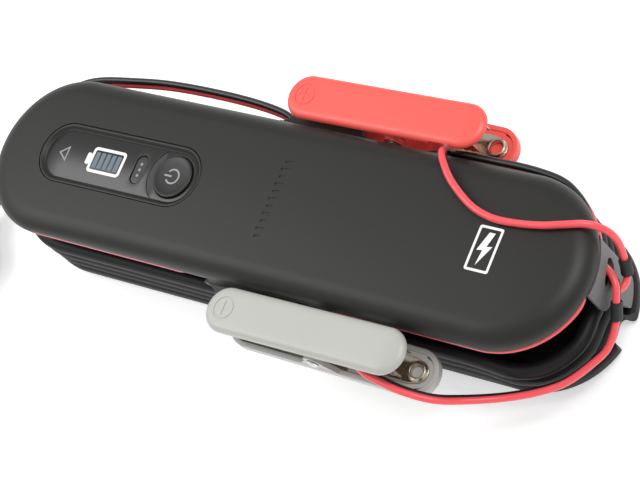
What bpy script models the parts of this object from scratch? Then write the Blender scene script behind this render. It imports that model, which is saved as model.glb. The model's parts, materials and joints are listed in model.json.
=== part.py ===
"""A 12 V car battery charger: a pill-shaped housing that is its own cord reel, with two battery clamps
docked on side ears, a mains lead and a twin low-voltage lead wound in the groove round its waist.

Frame: origin at the middle of the underside, +X towards the strap end, -X towards the display end,
+Y towards the red clamp, +Z up. Units are metres.
"""

import math

import bmesh
import bpy
from mathutils import Matrix, Vector

MM = 0.001
FIT_GAP = 0.3 * MM

# Housing
HALF_LENGTH = 148.5 * MM
HALF_WIDTH = 36.0 * MM
SPINE = HALF_LENGTH - HALF_WIDTH
HEIGHT = 57.0 * MM
WALL = 2.4 * MM
RIM_Z = 46.5 * MM
LEDGE_TOP = RIM_Z + 2.5 * MM
CROWN_X = 35.0 * MM
CROWN_DROP = 3.5 * MM
CROSS_DROP = 1.2 * MM
EDGE_RUN = 9.0 * MM
FLANGE_TOP = 8.0 * MM
FLANGE_BOTTOM = 1.5 * MM
CORE_TOP = 45.2 * MM
PAD_TOP = 2.3 * MM
SCREW_XY = [(x * MM, y * MM) for x in (-126.0, 126.0) for y in (-8.0, 8.0)]

# Side ears that the clamps are docked on
EAR_BOTTOM = 41.5 * MM
EAR_TOP = 45.5 * MM

# Display
DISPLAY_X = -77.75 * MM
DISPLAY_SPINE = 30.35 * MM
DISPLAY_HALF_WIDTH = 13.9 * MM
DISPLAY_SINK = 1.6 * MM
BUTTON_X = -48.0 * MM
BUTTON_RADIUS = 9.4 * MM
BADGE_X = -67.0 * MM
BOARD_Z = 12.0 * MM

# Clamps
CLAMP_Y = 47.5 * MM
CLAMP_HALF_LENGTH = 48.5 * MM
CLAMP_HALF_WIDTH = 9.6 * MM
CLAMP_OUTER = 12.0 * MM
UPPER_RIM = 8.6 * MM
LOWER_RIM = 5.5 * MM
CLAMP_SKIN = 2.2 * MM
CLAMP_TILT = math.radians(2.35)
PIVOT_Z = 43.5 * MM
RED_PIVOT_X = 39.6 * MM
GREY_PIVOT_X = 44.8 * MM
UPPER_SHIFT = -3.3 * MM
LOWER_SHIFT = 1.7 * MM
PIN_RADIUS = 1.6 * MM
CHEEK_RADIUS = 4.4 * MM
HOLE_FROM_END = 8.3 * MM

# Leads
MAINS_RADIUS = 3.25 * MM
CORE_RADIUS = 1.45 * MM
TWIN_RADIUS = 2.0 * MM
PLUG_X = -178.5 * MM
PLUG_Z = 7.2 * MM


def mm(*values):
    return Vector(values) * MM


# ---------------------------------------------------------------- building blocks

def clear_scene():
    for old in list(bpy.data.objects):
        bpy.data.objects.remove(old, do_unlink=True)


def material(name, colour, roughness, metallic=0.0):
    made = bpy.data.materials.new(name)
    made.use_nodes = True
    shader = made.node_tree.nodes["Principled BSDF"]
    shader.inputs["Base Color"].default_value = (*colour, 1.0)
    shader.inputs["Roughness"].default_value = roughness
    shader.inputs["Metallic"].default_value = metallic
    return made


def add_object(name, mesh_data, surface):
    mesh = bpy.data.meshes.new(name)
    bmesh.ops.recalc_face_normals(mesh_data, faces=mesh_data.faces)
    mesh_data.to_mesh(mesh)
    mesh_data.free()
    mesh.shade_smooth()
    mesh.set_sharp_from_angle(angle=math.radians(32))
    made = bpy.data.objects.new(name, mesh)
    bpy.context.scene.collection.objects.link(made)
    if surface:
        mesh.materials.append(surface)
    return made


def as_cutter(tool):
    tool.hide_render = True
    tool.display_type = "WIRE"
    return tool


def combine(target, tool, operation):
    change = target.modifiers.new(operation.title(), "BOOLEAN")
    change.operation = operation
    change.object = as_cutter(tool)
    return target


def cut(target, tool):
    return combine(target, tool, "DIFFERENCE")


def join(target, tool):
    return combine(target, tool, "UNION")


def stadium(spine, radius, quarter_steps=6, side_steps=8):
    """Points of a pill outline, counter-clockwise from its +X tip, symmetrical about the X axis."""
    quarter = math.pi / 2
    points = []
    for k in range(quarter_steps + 1):
        a = quarter * k / quarter_steps
        points.append((spine + radius * math.cos(a), radius * math.sin(a)))
    for k in range(1, side_steps):
        points.append((spine - 2 * spine * k / side_steps, radius))
    for k in range(2 * quarter_steps + 1):
        a = quarter * (1 + k / quarter_steps)
        points.append((-spine + radius * math.cos(a), radius * math.sin(a)))
    for k in range(1, side_steps):
        points.append((-spine + 2 * spine * k / side_steps, -radius))
    for k in range(quarter_steps):
        a = quarter * (3 + k / quarter_steps)
        points.append((spine + radius * math.cos(a), radius * math.sin(a)))
    return points


def ladder_cap(mesh_data, ring):
    """Closes a symmetrical ring with a ladder of faces, so that it can follow a curved top."""
    count = len(ring)
    for k in range(count // 2):
        corners = [ring[k], ring[k + 1], ring[count - k - 1], ring[(count - k) % count]]
        kept = [v for i, v in enumerate(corners) if v not in corners[:i]]
        mesh_data.faces.new(kept)


def loft(rings):
    """A closed body through rings of equally many points; both ends are closed with a ladder."""
    data = bmesh.new()
    levels = [[data.verts.new(p) for p in ring] for ring in rings]
    count = len(levels[0])
    for low, high in zip(levels, levels[1:]):
        for i in range(count):
            j = (i + 1) % count
            data.faces.new((low[i], low[j], high[j], high[i]))
    ladder_cap(data, levels[0])
    ladder_cap(data, levels[-1])
    return data


def pill_rings(spine, radius, profile, centre=0.0, **steps):
    """Rings of a pill shape: profile lists (inset, z), where z may be a function of x and inset."""
    rings = []
    for inset, z in profile:
        ring = []
        for x, y in stadium(spine, radius - inset, **steps):
            height = z(x + centre, inset) if callable(z) else z
            ring.append((x + centre, y, height))
        rings.append(ring)
    return rings


def prism(outline, low, high):
    """A plan outline extruded from z = low to z = high."""
    data = bmesh.new()
    floor = data.faces.new([data.verts.new((x, y, low)) for x, y in outline])
    grown = bmesh.ops.extrude_face_region(data, geom=[floor])
    moved = [v for v in grown["geom"] if isinstance(v, bmesh.types.BMVert)]
    bmesh.ops.translate(data, verts=moved, vec=(0, 0, high - low))
    return data


def block(low, high):
    data = bmesh.new()
    size = [h - l for l, h in zip(low, high)]
    middle = [(l + h) / 2 for l, h in zip(low, high)]
    place = Matrix.Translation(middle) @ Matrix.Diagonal((*size, 1))
    bmesh.ops.create_cube(data, size=1.0, matrix=place)
    return data


def turned(profile, segments=20, axis=(0, 0, 1), at=(0, 0, 0)):
    """A body of revolution: profile lists (radius, height) along axis, closed on the axis at both ends
    when its first and last radius are 0, and a ring when the profile is a closed loop."""
    data = bmesh.new()
    ring = profile[0][0] > 0
    turn = Vector((0, 0, 1)).rotation_difference(Vector(axis)).to_matrix().to_4x4()
    place = Matrix.Translation(at) @ turn
    levels = []
    for radius, height in profile:
        if radius == 0:
            levels.append([data.verts.new(place @ Vector((0, 0, height)))] * segments)
            continue
        level = []
        for k in range(segments):
            a = 2 * math.pi * k / segments
            level.append(data.verts.new(place @ Vector((radius * math.cos(a), radius * math.sin(a), height))))
        levels.append(level)
    pairs = list(zip(levels, levels[1:]))
    if ring:
        pairs.append((levels[-1], levels[0]))
    for low, high in pairs:
        for i in range(segments):
            j = (i + 1) % segments
            corners = (low[i], low[j], high[j], high[i])
            data.faces.new([v for n, v in enumerate(corners) if v not in corners[:n]])
    return data


def rod(radius, low, high, segments=20, axis=(0, 0, 1), at=(0, 0, 0)):
    return turned([(0, low), (radius, low), (radius, high), (0, high)], segments, axis, at)


def collar(inner, outer, low, high, segments=24, axis=(0, 0, 1), at=(0, 0, 0)):
    return turned([(inner, low), (outer, low), (outer, high), (inner, high)], segments, axis, at)


def smooth_route(points, spacing):
    """Points about spacing apart on a Catmull-Rom curve through the route's own points."""
    pts = [Vector(p) for p in points]
    pts = [2 * pts[0] - pts[1]] + pts + [2 * pts[-1] - pts[-2]]
    fine = []
    for a, b, c, d in zip(pts, pts[1:], pts[2:], pts[3:]):
        steps = max(2, round((c - b).length / (spacing / 4)))
        for k in range(steps):
            t = k / steps
            fine.append(0.5 * (2 * b + (c - a) * t + (2 * a - 5 * b + 4 * c - d) * t * t
                               + (3 * b - a - 3 * c + d) * t ** 3))
    fine.append(pts[-2])
    kept = [fine[0]]
    for p in fine[1:-1]:
        if (p - kept[-1]).length >= spacing and (p - fine[-1]).length >= spacing / 2:
            kept.append(p)
    return kept + [fine[-1]]


def tube(name, points, radius, surface):
    """A lead's free stretch: a bevelled curve with closed ends."""
    curve = bpy.data.curves.new(name, "CURVE")
    curve.dimensions = "3D"
    curve.bevel_depth = radius
    curve.bevel_resolution = 2
    curve.use_fill_caps = True
    route = smooth_route(points, radius * 5)
    spline = curve.splines.new("POLY")
    spline.points.add(len(route) - 1)
    for slot, p in zip(spline.points, route):
        slot.co = (*p, 1.0)
    curve.materials.append(surface)
    made = bpy.data.objects.new(name, curve)
    bpy.context.scene.collection.objects.link(made)
    return made


# ---------------------------------------------------------------- housing

def top_height(x, inset):
    """The domed top: highest near the strap end, lower towards the display and towards the edges."""
    along = CROWN_DROP * ((x - CROWN_X) / (HALF_LENGTH + CROWN_X)) ** 2
    across = CROSS_DROP * (1 - inset / HALF_WIDTH) ** 2
    return HEIGHT - along - across


def dome_profile(start_z, skin):
    """(inset, z) pairs from the rounded edge to the spine; skin moves the dome inwards."""
    profile = []
    for degrees in (0, 18, 36, 54, 72, 90):
        a = math.radians(degrees)
        inset = EDGE_RUN * (1 - math.cos(a))
        rise = math.sin(a)

        def height(x, at, rise=rise):
            crest = top_height(x, max(at - skin, 0)) - skin
            return start_z + (crest - start_z) * rise

        profile.append((inset + skin, height))
    for inset in (15, 22, 29):
        profile.append((inset * MM + skin, lambda x, at: top_height(x, at - skin) - skin))
    return profile


def ear_outline(side):
    """Plan of one side ear with filleted roots and rounded outer corners; side is +1 or -1 in Y."""
    root_y = HALF_WIDTH - 2 * MM
    points = [mm(-19, 0), mm(-19, 1.5)]
    for k in range(5):
        a = math.radians(90 * k / 4)
        points.append(mm(-19 + 10 * math.sin(a), 3 + 10 * (1 - math.cos(a))))
    for k in range(4):
        a = math.radians(180 - 90 * k / 3)
        points.append(mm(-5.5 + 3.5 * math.cos(a), 15 + 3.5 * math.sin(a)))
    for k in range(4):
        a = math.radians(90 - 90 * k / 3)
        points.append(mm(18 + 3.5 * math.cos(a), 15 + 3.5 * math.sin(a)))
    for k in range(5):
        a = math.radians(90 * k / 4)
        points.append(mm(31.5 - 10 * math.cos(a), 13 - 10 * math.sin(a)))
    points.append(mm(31.5, 0))
    outline = [(p[0], side * (root_y + p[1])) for p in points]
    return outline if side > 0 else outline[::-1]


def make_top_shell(plastic):
    outer = [(0.8 * MM, RIM_Z), (0.0, RIM_Z + 0.8 * MM)] + dome_profile(RIM_Z + 1.6 * MM, 0.0)
    shell = add_object("top_shell", loft(pill_rings(SPINE, HALF_WIDTH, outer)), plastic)
    for side in (1, -1):
        ear = prism(ear_outline(side), EAR_BOTTOM, EAR_TOP)
        join(shell, add_object(f"ear_{side}", ear, None))
        near, far = sorted((side * 34.0, side * 35.6))
        root_low, root_high = mm(-17, near, 41.5), mm(29.5, far, 50)
        join(shell, add_object(f"ear_root_{side}", block(root_low, root_high), None))
    cavity = loft(pill_rings(SPINE, HALF_WIDTH, dome_profile(LEDGE_TOP, WALL)))
    cut(shell, add_object("shell_cavity", cavity, None))
    mouth = pill_rings(SPINE, HALF_WIDTH, [(14.4 * MM, 40 * MM), (14.4 * MM, 49.5 * MM)])
    cut(shell, add_object("shell_mouth", loft(mouth), None))
    window = pill_rings(DISPLAY_SPINE, DISPLAY_HALF_WIDTH, [(0, 49.2 * MM), (0, 70 * MM)],
                        centre=DISPLAY_X, side_steps=4)
    cut(shell, add_object("display_opening", loft(window), None))
    for n, (x, y) in enumerate(SCREW_XY):
        post = rod(4.2 * MM, 9.6 * MM, 52.2 * MM if x < 0 else 54.0 * MM, 16, at=(x, y, 0))
        join(shell, add_object(f"post_{n}", post, None))
        bore = rod(1.8 * MM, 5 * MM, 24 * MM, 12, at=(x, y, 0))
        cut(shell, add_object(f"post_bore_{n}", bore, None))
    return shell


def make_base_shell(plastic):
    rim = FLANGE_TOP
    profile = [
        (7.3 * MM, 2.6 * MM), (7.3 * MM, FLANGE_BOTTOM), (2.4 * MM, FLANGE_BOTTOM),
        (0.6 * MM, 2.6 * MM), (0.0, 4.4 * MM), (0.0, 6.4 * MM), (0.7 * MM, rim - 0.5 * MM),
        (1.8 * MM, rim), (12.0 * MM, rim), (12.0 * MM, CORE_TOP), (14.4 * MM, CORE_TOP),
        (14.4 * MM, 5.0 * MM),
    ]
    shell = add_object("base_shell", loft(pill_rings(SPINE, HALF_WIDTH, profile)), plastic)
    notch = pill_rings(9 * MM, 5.5 * MM, [(0, -1 * MM), (0, 7.9 * MM)], centre=153.5 * MM,
                       quarter_steps=4, side_steps=2)
    notch = [[(x, y - 3.2 * MM, z * 1.3) for x, y, z in ring] for ring in notch]
    cut(shell, add_object("flange_notch", loft(notch), None))
    for x in (-88, 96):
        for y in (-14, 14):
            post = rod(2.5 * MM, 3.6 * MM, BOARD_Z - FIT_GAP, 12, at=mm(x, y, 0))
            join(shell, add_object(f"standoff_{x}_{y}", post, None))
    for n, (x, y) in enumerate(SCREW_XY):
        join(shell, add_object(f"boss_{n}", rod(5 * MM, 3.4 * MM, 9.3 * MM, 16, at=(x, y, 0)), None))
        cut(shell, add_object(f"head_bore_{n}", rod(3.4 * MM, 1 * MM, 6.4 * MM, 16, at=(x, y, 0)), None))
        cut(shell, add_object(f"shank_bore_{n}", rod(1.8 * MM, 2 * MM, 11 * MM, 12, at=(x, y, 0)), None))
    return shell


def make_housing(surfaces):
    make_top_shell(surfaces["soft_black"])
    make_base_shell(surfaces["base_black"])
    seal = [(12.3 * MM, 45.5 * MM), (12.3 * MM, 46.2 * MM), (14.1 * MM, 46.2 * MM), (14.1 * MM, 45.5 * MM)]
    seal_rings = pill_rings(SPINE, HALF_WIDTH, seal, side_steps=2)
    add_object("housing_seal", closed_band(seal_rings), surfaces["rubber"])
    pad = [(8.2 * MM, 0.0), (7.7 * MM, 0.5 * MM), (7.7 * MM, PAD_TOP)]
    add_object("base_pad", loft(pill_rings(SPINE, HALF_WIDTH, pad, side_steps=4)), surfaces["rubber"])
    for n, (x, y) in enumerate(SCREW_XY, 1):
        screw = turned([(0, 3.2 * MM), (3.0 * MM, 3.2 * MM), (3.0 * MM, 5.8 * MM), (1.45 * MM, 5.8 * MM),
                        (1.45 * MM, 20 * MM), (0.6 * MM, 21.5 * MM), (0, 21.5 * MM)], 12, at=(x, y, 0))
        add_object(f"case_screw_{n}", screw, surfaces["steel"])


def closed_band(rings):
    """A ring-shaped body: rings run round its section and the last meets the first."""
    data = bmesh.new()
    levels = [[data.verts.new(p) for p in ring] for ring in rings]
    count = len(levels[0])
    for low, high in zip(levels, levels[1:] + levels[:1]):
        for i in range(count):
            j = (i + 1) % count
            data.faces.new((low[i], low[j], high[j], high[i]))
    return data


# ---------------------------------------------------------------- display and button

def deck(sink):
    """A height that lies sink below the dome's crest line."""
    return lambda x, inset: top_height(x, HALF_WIDTH) - sink


def make_display(surfaces):
    steps = {"centre": DISPLAY_X, "side_steps": 4}
    half = DISPLAY_HALF_WIDTH - FIT_GAP
    frame = [(0, deck(4.4 * MM)), (0, deck(0.45 * MM)), (0.5 * MM, deck(0.15 * MM)), (1.2 * MM, deck(0.15 * MM)),
             (2.4 * MM, deck(DISPLAY_SINK)), (2.4 * MM, deck(4.4 * MM))]
    add_object("display_bezel", closed_band(pill_rings(DISPLAY_SPINE, half, frame, **steps)),
               surfaces["bezel_black"])
    face = [(2.7 * MM, deck(3.2 * MM)), (2.7 * MM, deck(DISPLAY_SINK))]
    window = add_object("display_window", loft(pill_rings(DISPLAY_SPINE, half, face, **steps)),
                        surfaces["window_black"])
    ring_hole = rod(BUTTON_RADIUS + 0.4 * MM, 45 * MM, 60 * MM, 32, at=(BUTTON_X, 0, 0))
    cut(window, add_object("button_hole", ring_hole, None))
    badge_hole = badge_solid(0.0, [50 * MM, 58 * MM])
    cut(window, add_object("badge_hole", badge_hole, None))
    floor = top_height(BUTTON_X, HALF_WIDTH) - DISPLAY_SINK
    badge_top = top_height(BADGE_X, HALF_WIDTH) - DISPLAY_SINK - 0.35 * MM
    add_object("mode_badge", badge_solid(0.25 * MM, [badge_top - 1.4 * MM, badge_top]), surfaces["window_black"])
    cap = turned([(0, 51.4 * MM), (8.6 * MM, 51.4 * MM), (BUTTON_RADIUS, 51.6 * MM),
                  (BUTTON_RADIUS, floor + 0.9 * MM), (9.1 * MM, floor + 1.3 * MM), (8.2 * MM, floor + 1.3 * MM),
                  (4 * MM, floor + 0.9 * MM), (0, floor + 0.8 * MM)], 32, at=(BUTTON_X, 0, 0))
    add_object("power_button", cap, surfaces["button_black"])


def badge_solid(shrink, heights):
    """The small pill beside the button, with its long side across the housing."""
    outline = stadium(3.4 * MM, 3.2 * MM - shrink, quarter_steps=4, side_steps=2)
    return loft([[(BADGE_X - y, x, z) for x, y in outline] for z in heights])


def make_display_electronics(surfaces):
    add_object("light_guide", block(mm(-114, -7.5, 48.2), mm(-72, 7.5, 50.6)), surfaces["clear"])
    board = add_object("display_board", block(mm(-113, -11, 45.4), mm(-36, 11, 47)), surfaces["board_green"])
    add_object("tact_switch", block(mm(-51, -3, 47.3), mm(-45, 3, 50.1)), surfaces["steel"])
    return board


# ---------------------------------------------------------------- power electronics

def make_electronics(surfaces):
    add_object("main_board", block(mm(-98, -18, 12), mm(106, 18, 13.6)), surfaces["board_green"])
    seat = BOARD_Z + 1.9 * MM
    core = block((-20 * MM, -14 * MM, seat), (18 * MM, 14 * MM, seat + 24 * MM))
    ferrite = add_object("transformer_core", core, surfaces["ferrite"])
    for x in (-14, 4):
        window = block((x * MM, -16 * MM, seat + 5 * MM), ((x + 8) * MM, 16 * MM, seat + 19 * MM))
        cut(ferrite, add_object(f"core_window_{x}", window, None))
    winding = block((-13.6 * MM, -18 * MM, seat + 5.4 * MM), (11.6 * MM, 18 * MM, seat + 18.6 * MM))
    coil = add_object("transformer_winding", winding, surfaces["copper"])
    limb = block((-6.4 * MM, -14.4 * MM, seat), (4.4 * MM, 14.4 * MM, seat + 24 * MM))
    cut(coil, add_object("winding_bore", limb, None))
    add_object("input_capacitor", can(11 * MM, 28 * MM, seat, -52 * MM, 0), surfaces["can_blue"])
    add_object("output_capacitor", can(7.5 * MM, 24 * MM, seat, 40 * MM, 8.5 * MM), surfaces["can_blue"])
    fins = add_object("heat_sink", block((58 * MM, -16 * MM, seat), (92 * MM, -2 * MM, seat + 26 * MM)),
                      surfaces["aluminium"])
    for k in range(4):
        x = (63.5 + 8 * k) * MM
        gap = block((x - 2 * MM, -17 * MM, seat + 5 * MM), (x + 2 * MM, -5 * MM, seat + 27 * MM))
        cut(fins, add_object(f"fin_gap_{k}", gap, None))
    add_object("choke", collar(4 * MM, 9 * MM, seat, seat + 9 * MM, 20, at=(80 * MM, 8 * MM, 0)),
               surfaces["copper"])
    add_object("fuse", rod(2.6 * MM, -10 * MM, 10 * MM, 12, axis=(1, 0, 0), at=(-82 * MM, -12 * MM, seat + 3 * MM)),
               surfaces["steel"])
    add_object("relay", block((-88 * MM, -4 * MM, seat), (-70 * MM, 12 * MM, seat + 14 * MM)),
               surfaces["base_black"])


def can(radius, height, seat, x, y):
    top = seat + height
    return turned([(0, seat), (radius, seat), (radius, top - 1 * MM), (radius - 1 * MM, top), (0, top)],
                  20, at=(x, y, 0))


# ---------------------------------------------------------------- reel of leads

def band_outline(inner, outer, start, end, steps=90):
    """Plan of an open C-shaped band wound round the waist. start and end are fractions of one turn,
    counter-clockwise from the middle of the far side; outer may be a function of place."""
    inside, outside = [], []
    for k in range(steps + 1):
        turn = start + (end - start) * k / steps
        inside.append(on_turn(turn, inner))
        outside.append(on_turn(turn, outer(turn) if callable(outer) else outer))
    return inside[::-1] + outside


def on_turn(turn, offset):
    """A plan point at a fraction of one turn round the pill, offset out from its spine line."""
    arc = math.pi * HALF_WIDTH
    lengths = [SPINE, arc, 2 * SPINE, arc, SPINE]
    along = (turn % 1.0) * sum(lengths)
    if along < SPINE:
        return (-along, offset)
    along -= SPINE
    if along < arc:
        a = math.pi / 2 + along / HALF_WIDTH
        return (-SPINE + offset * math.cos(a), offset * math.sin(a))
    along -= arc
    if along < 2 * SPINE:
        return (-SPINE + along, -offset)
    along -= 2 * SPINE
    if along < arc:
        a = -math.pi / 2 + along / HALF_WIDTH
        return (SPINE + offset * math.cos(a), offset * math.sin(a))
    along -= arc
    return (SPINE - along, offset)


def bump(turn, centre, reach):
    away = (turn - centre) / reach
    return math.exp(-away * away)


def plateau(turn, low, high, fade):
    """1 between low and high, falling smoothly to 0 over fade on each side."""
    away = max(low - turn, turn - high, 0.0) / fade
    return 0.0 if away >= 1 else 1 - away * away * (3 - 2 * away)


def mains_edge(turn):
    """The mains turns bulge out of the groove round the strap end, but stay inside the strap."""
    bulge = 1.2 * bump(turn, 0.60, 0.07) + 3.2 * bump(turn, 0.702, 0.03)
    return (35.8 + bulge - 3.4 * plateau(turn, 0.738, 0.784, 0.014)) * MM


def twin_edge(turn):
    """The twin lead's turn keeps inside the ear's root and the strap, and then comes from its gland, so it
    leaves room for the lead's other end to reach the strap's slot."""
    under_ear = 2.0 * plateau(turn, 0.466, 0.553, 0.014)
    in_strap = 2.6 * plateau(turn, 0.738, 0.784, 0.014)
    from_gland = 4.9 * plateau(turn, 0.779, 0.84, 0.018)
    return (35.6 - under_ear - max(in_strap, from_gland)) * MM


def make_mains_lead(surfaces):
    gland = turned([(0, 0), (3.2 * MM, 0), (3.2 * MM, 2 * MM), (4.1 * MM, 2 * MM), (4.1 * MM, 5 * MM),
                    (3.9 * MM, 7 * MM), (3.45 * MM, 32 * MM), (0, 32 * MM)], 14,
                   axis=(-1, 0, 0), at=mm(-80, 28.5, 12.5))
    add_object("mains_gland", gland, surfaces["rubber"])
    band = prism(band_outline(24.6 * MM, mains_edge, 0.168, 1.09), 8.4 * MM, 28.8 * MM)
    add_object("mains_cord_coil", band, surfaces["cord_black"])
    tail = [mm(-61.4, 31.8, 24.5), mm(-72, 32.0, 24.6), mm(-84, 33.2, 24.8), mm(-96, 36.4, 24.8),
            mm(-108, 39.6, 24.4), mm(-120, 40.4, 23.6), mm(-133, 37.2, 22), mm(-146.5, 30.6, 18.6),
            mm(-158.5, 21.8, 14.4), mm(-169, 11.5, 10.2), mm(-176, 0.5, 7.8), mm(-178.5, -9, 7.2),
            mm(-178.5, -15, 7.2), mm(-178.5, -21.8, 7.2)]
    tube("mains_cord_tail", tail, MAINS_RADIUS, surfaces["cord_black"])


def make_plug(surfaces):
    sections = [(-22.3, 5.5, 5.0), (-30, 6.4, 5.4), (-38, 13.0, 6.4), (-44, 17.0, 6.8), (-57, 17.4, 7.0),
                (-58, 16.6, 6.2)]
    rings = []
    for y, half_x, half_z in sections:
        nose = half_z * 0.75
        ring = [(half_x, 0), (half_x - nose / 2, nose), (-half_x + nose / 2, nose), (-half_x, 0),
                (-half_x + nose / 2, -nose), (half_x - nose / 2, -nose)]
        rings.append([(PLUG_X + x * MM, y * MM, PLUG_Z + z * MM / 0.75) for x, z in ring])
    data = bmesh.new()
    levels = [[data.verts.new(p) for p in ring] for ring in rings]
    for low, high in zip(levels, levels[1:]):
        for i in range(6):
            j = (i + 1) % 6
            data.faces.new((low[i], low[j], high[j], high[i]))
    data.faces.new(levels[0])
    data.faces.new(levels[-1])
    add_object("plug_body", data, surfaces["cord_black"])
    for name, x in (("plug_pin_left", -9.5), ("plug_pin_right", 9.5)):
        pin = turned([(0, 58.3 * MM), (2.0 * MM, 58.3 * MM), (2.0 * MM, 75.5 * MM), (1.2 * MM, 77 * MM),
                      (0, 77 * MM)], 12, axis=(0, -1, 0), at=(PLUG_X + x * MM, 0, PLUG_Z))
        add_object(name, pin, surfaces["nickel"])


def make_twin_lead(surfaces):
    gland = turned([(0, 0), (2.6 * MM, 0), (2.9 * MM, 2 * MM), (2.9 * MM, 5 * MM), (2.1 * MM, 24 * MM),
                    (0, 24 * MM)], 14, axis=(1, 0, 0), at=mm(88, 27.4, 42))
    add_object("twin_lead_gland", gland, surfaces["rubber"])
    band = prism(band_outline(26.8 * MM, twin_edge, 0.262, 0.828), 38.6 * MM, 45.8 * MM)
    add_object("twin_lead_coil", band, surfaces["lead_red"])
    loop = [mm(131.5, 29.2, 41.2), mm(126, 33.6, 42.4), mm(118, 37.2, 43.2), mm(104, 38.8, 43.6),
            mm(88, 39.0, 43.5), mm(74, 39.0, 43.2), mm(62, 37.6, 42.6), mm(51, 35.2, 41),
            mm(38, 34.2, 38.2), mm(22, 34.1, 37.4), mm(8, 34.3, 37.2), mm(-3, 35.8, 37.2),
            mm(-12, 39.6, 36.8), mm(-24, 43.8, 36.2), mm(-47.5, 46, 36), mm(-80.5, 46, 36),
            mm(-104, 43.8, 36), mm(-125.5, 39.9, 36.2), mm(-138, 31.6, 37.2), mm(-145.6, 21.4, 38.8),
            mm(-148.6, 12.4, 40.6), mm(-148.2, 4, 41.8)]
    tube("twin_lead_loop", loop, TWIN_RADIUS, surfaces["lead_red"])


def make_clamp_leads(surfaces):
    red = [mm(57, 43.6, 43.6), mm(61.5, 42, 44.4), mm(65, 39.8, 46), mm(67, 37.6, 49.6), mm(69, 36.3, 53.4),
           mm(71.2, 34.1, 56.9), mm(74.8, 29.8, 59), mm(82, 22.6, 59.4), mm(93.5, 15.2, 59),
           mm(103.5, 12.2, 58.5), mm(113.5, 12.2, 57.9), mm(125, 13.6, 57.9), mm(134, 16, 57.6),
           mm(141.8, 18.8, 55.4), mm(147.4, 19.8, 50.2), mm(150.2, 18.6, 44), mm(151.2, 15.2, 36.4),
           mm(151.3, 13.4, 33.2), mm(151.4, 11.6, 30.0), mm(151.4, 9.0, 27.4), mm(151, 6.0, 27.0),
           mm(150.4, 3.9, 28.9)]
    tube("red_lead", red, CORE_RADIUS, surfaces["lead_red"])
    grey = [mm(132.3, 28.6, 40.4), mm(136, 22.4, 36.8), mm(138.4, 16.2, 35.3), mm(140.9, 12.4, 35.0),
            mm(144.4, 10.2, 34.8), mm(148, 8.2, 34.6), mm(150.8, 5.0, 33.8), mm(151.8, 0.6, 31.6),
            mm(152, -2.8, 28.8), mm(152.2, -6.2, 26), mm(151.4, -15.6, 23.2), mm(147.2, -23.4, 22.8),
            mm(139.6, -32.4, 22), mm(129.8, -38.8, 21.6), mm(117.5, -45.4, 24), mm(106, -51.8, 30.5),
            mm(98, -56.4, 38.2), mm(87, -57.6, 43.0), mm(78, -56.6, 44.2),
            mm(70, -55, 43.6), mm(61, -51.2, 42.6)]
    tube("grey_lead", grey, TWIN_RADIUS, surfaces["lead_red"])
    for name, low, high, inner in (("red_lead_sleeve", red[16], red[18], CORE_RADIUS),
                                   ("grey_lead_sleeve", grey[7], grey[9], TWIN_RADIUS)):
        heading = (high - low).normalized()
        middle = (low + high) / 2
        ring = collar(inner + 0.6 * MM, inner + 1.3 * MM, -3 * MM, 3 * MM, 14, axis=heading, at=middle)
        add_object(name, ring, surfaces["rubber"])


def make_end_strap(surfaces):
    """A rubber strap that bridges the groove at the +X end and holds the wound leads in."""
    profile = [(36.2, 45.7), (35.8, 42), (35.6, 36), (35.6, 28), (35.4, 20), (35.3, 9.2)]
    data = bmesh.new()
    steps = 8
    skin = 2.0
    outer, inner = [], []
    for k in range(steps + 1):
        a = math.radians(-8 + 40 * k / steps)
        outer.append([data.verts.new((SPINE + r * MM * math.cos(a), r * MM * math.sin(a), z * MM)) for r, z in profile])
        inner.append([data.verts.new((SPINE + (r - skin) * MM * math.cos(a), (r - skin) * MM * math.sin(a), z * MM))
                      for r, z in profile])
    last = len(profile) - 1
    for k in range(steps):
        for j in range(last):
            data.faces.new((outer[k][j], outer[k][j + 1], outer[k + 1][j + 1], outer[k + 1][j]))
            data.faces.new((inner[k][j], inner[k + 1][j], inner[k + 1][j + 1], inner[k][j + 1]))
        for j in (0, last):
            data.faces.new((outer[k][j], outer[k + 1][j], inner[k + 1][j], inner[k][j]))
    for k in (0, steps):
        for j in range(last):
            data.faces.new((outer[k][j], inner[k][j], inner[k][j + 1], outer[k][j + 1]))
    strap = add_object("end_strap", data, surfaces["strap_grey"])
    slot = block(mm(139, 2.8, 31.2), mm(156, 14.6, 38.6))
    cut(strap, add_object("strap_slot", slot, None))


# ---------------------------------------------------------------- clamps

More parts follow.
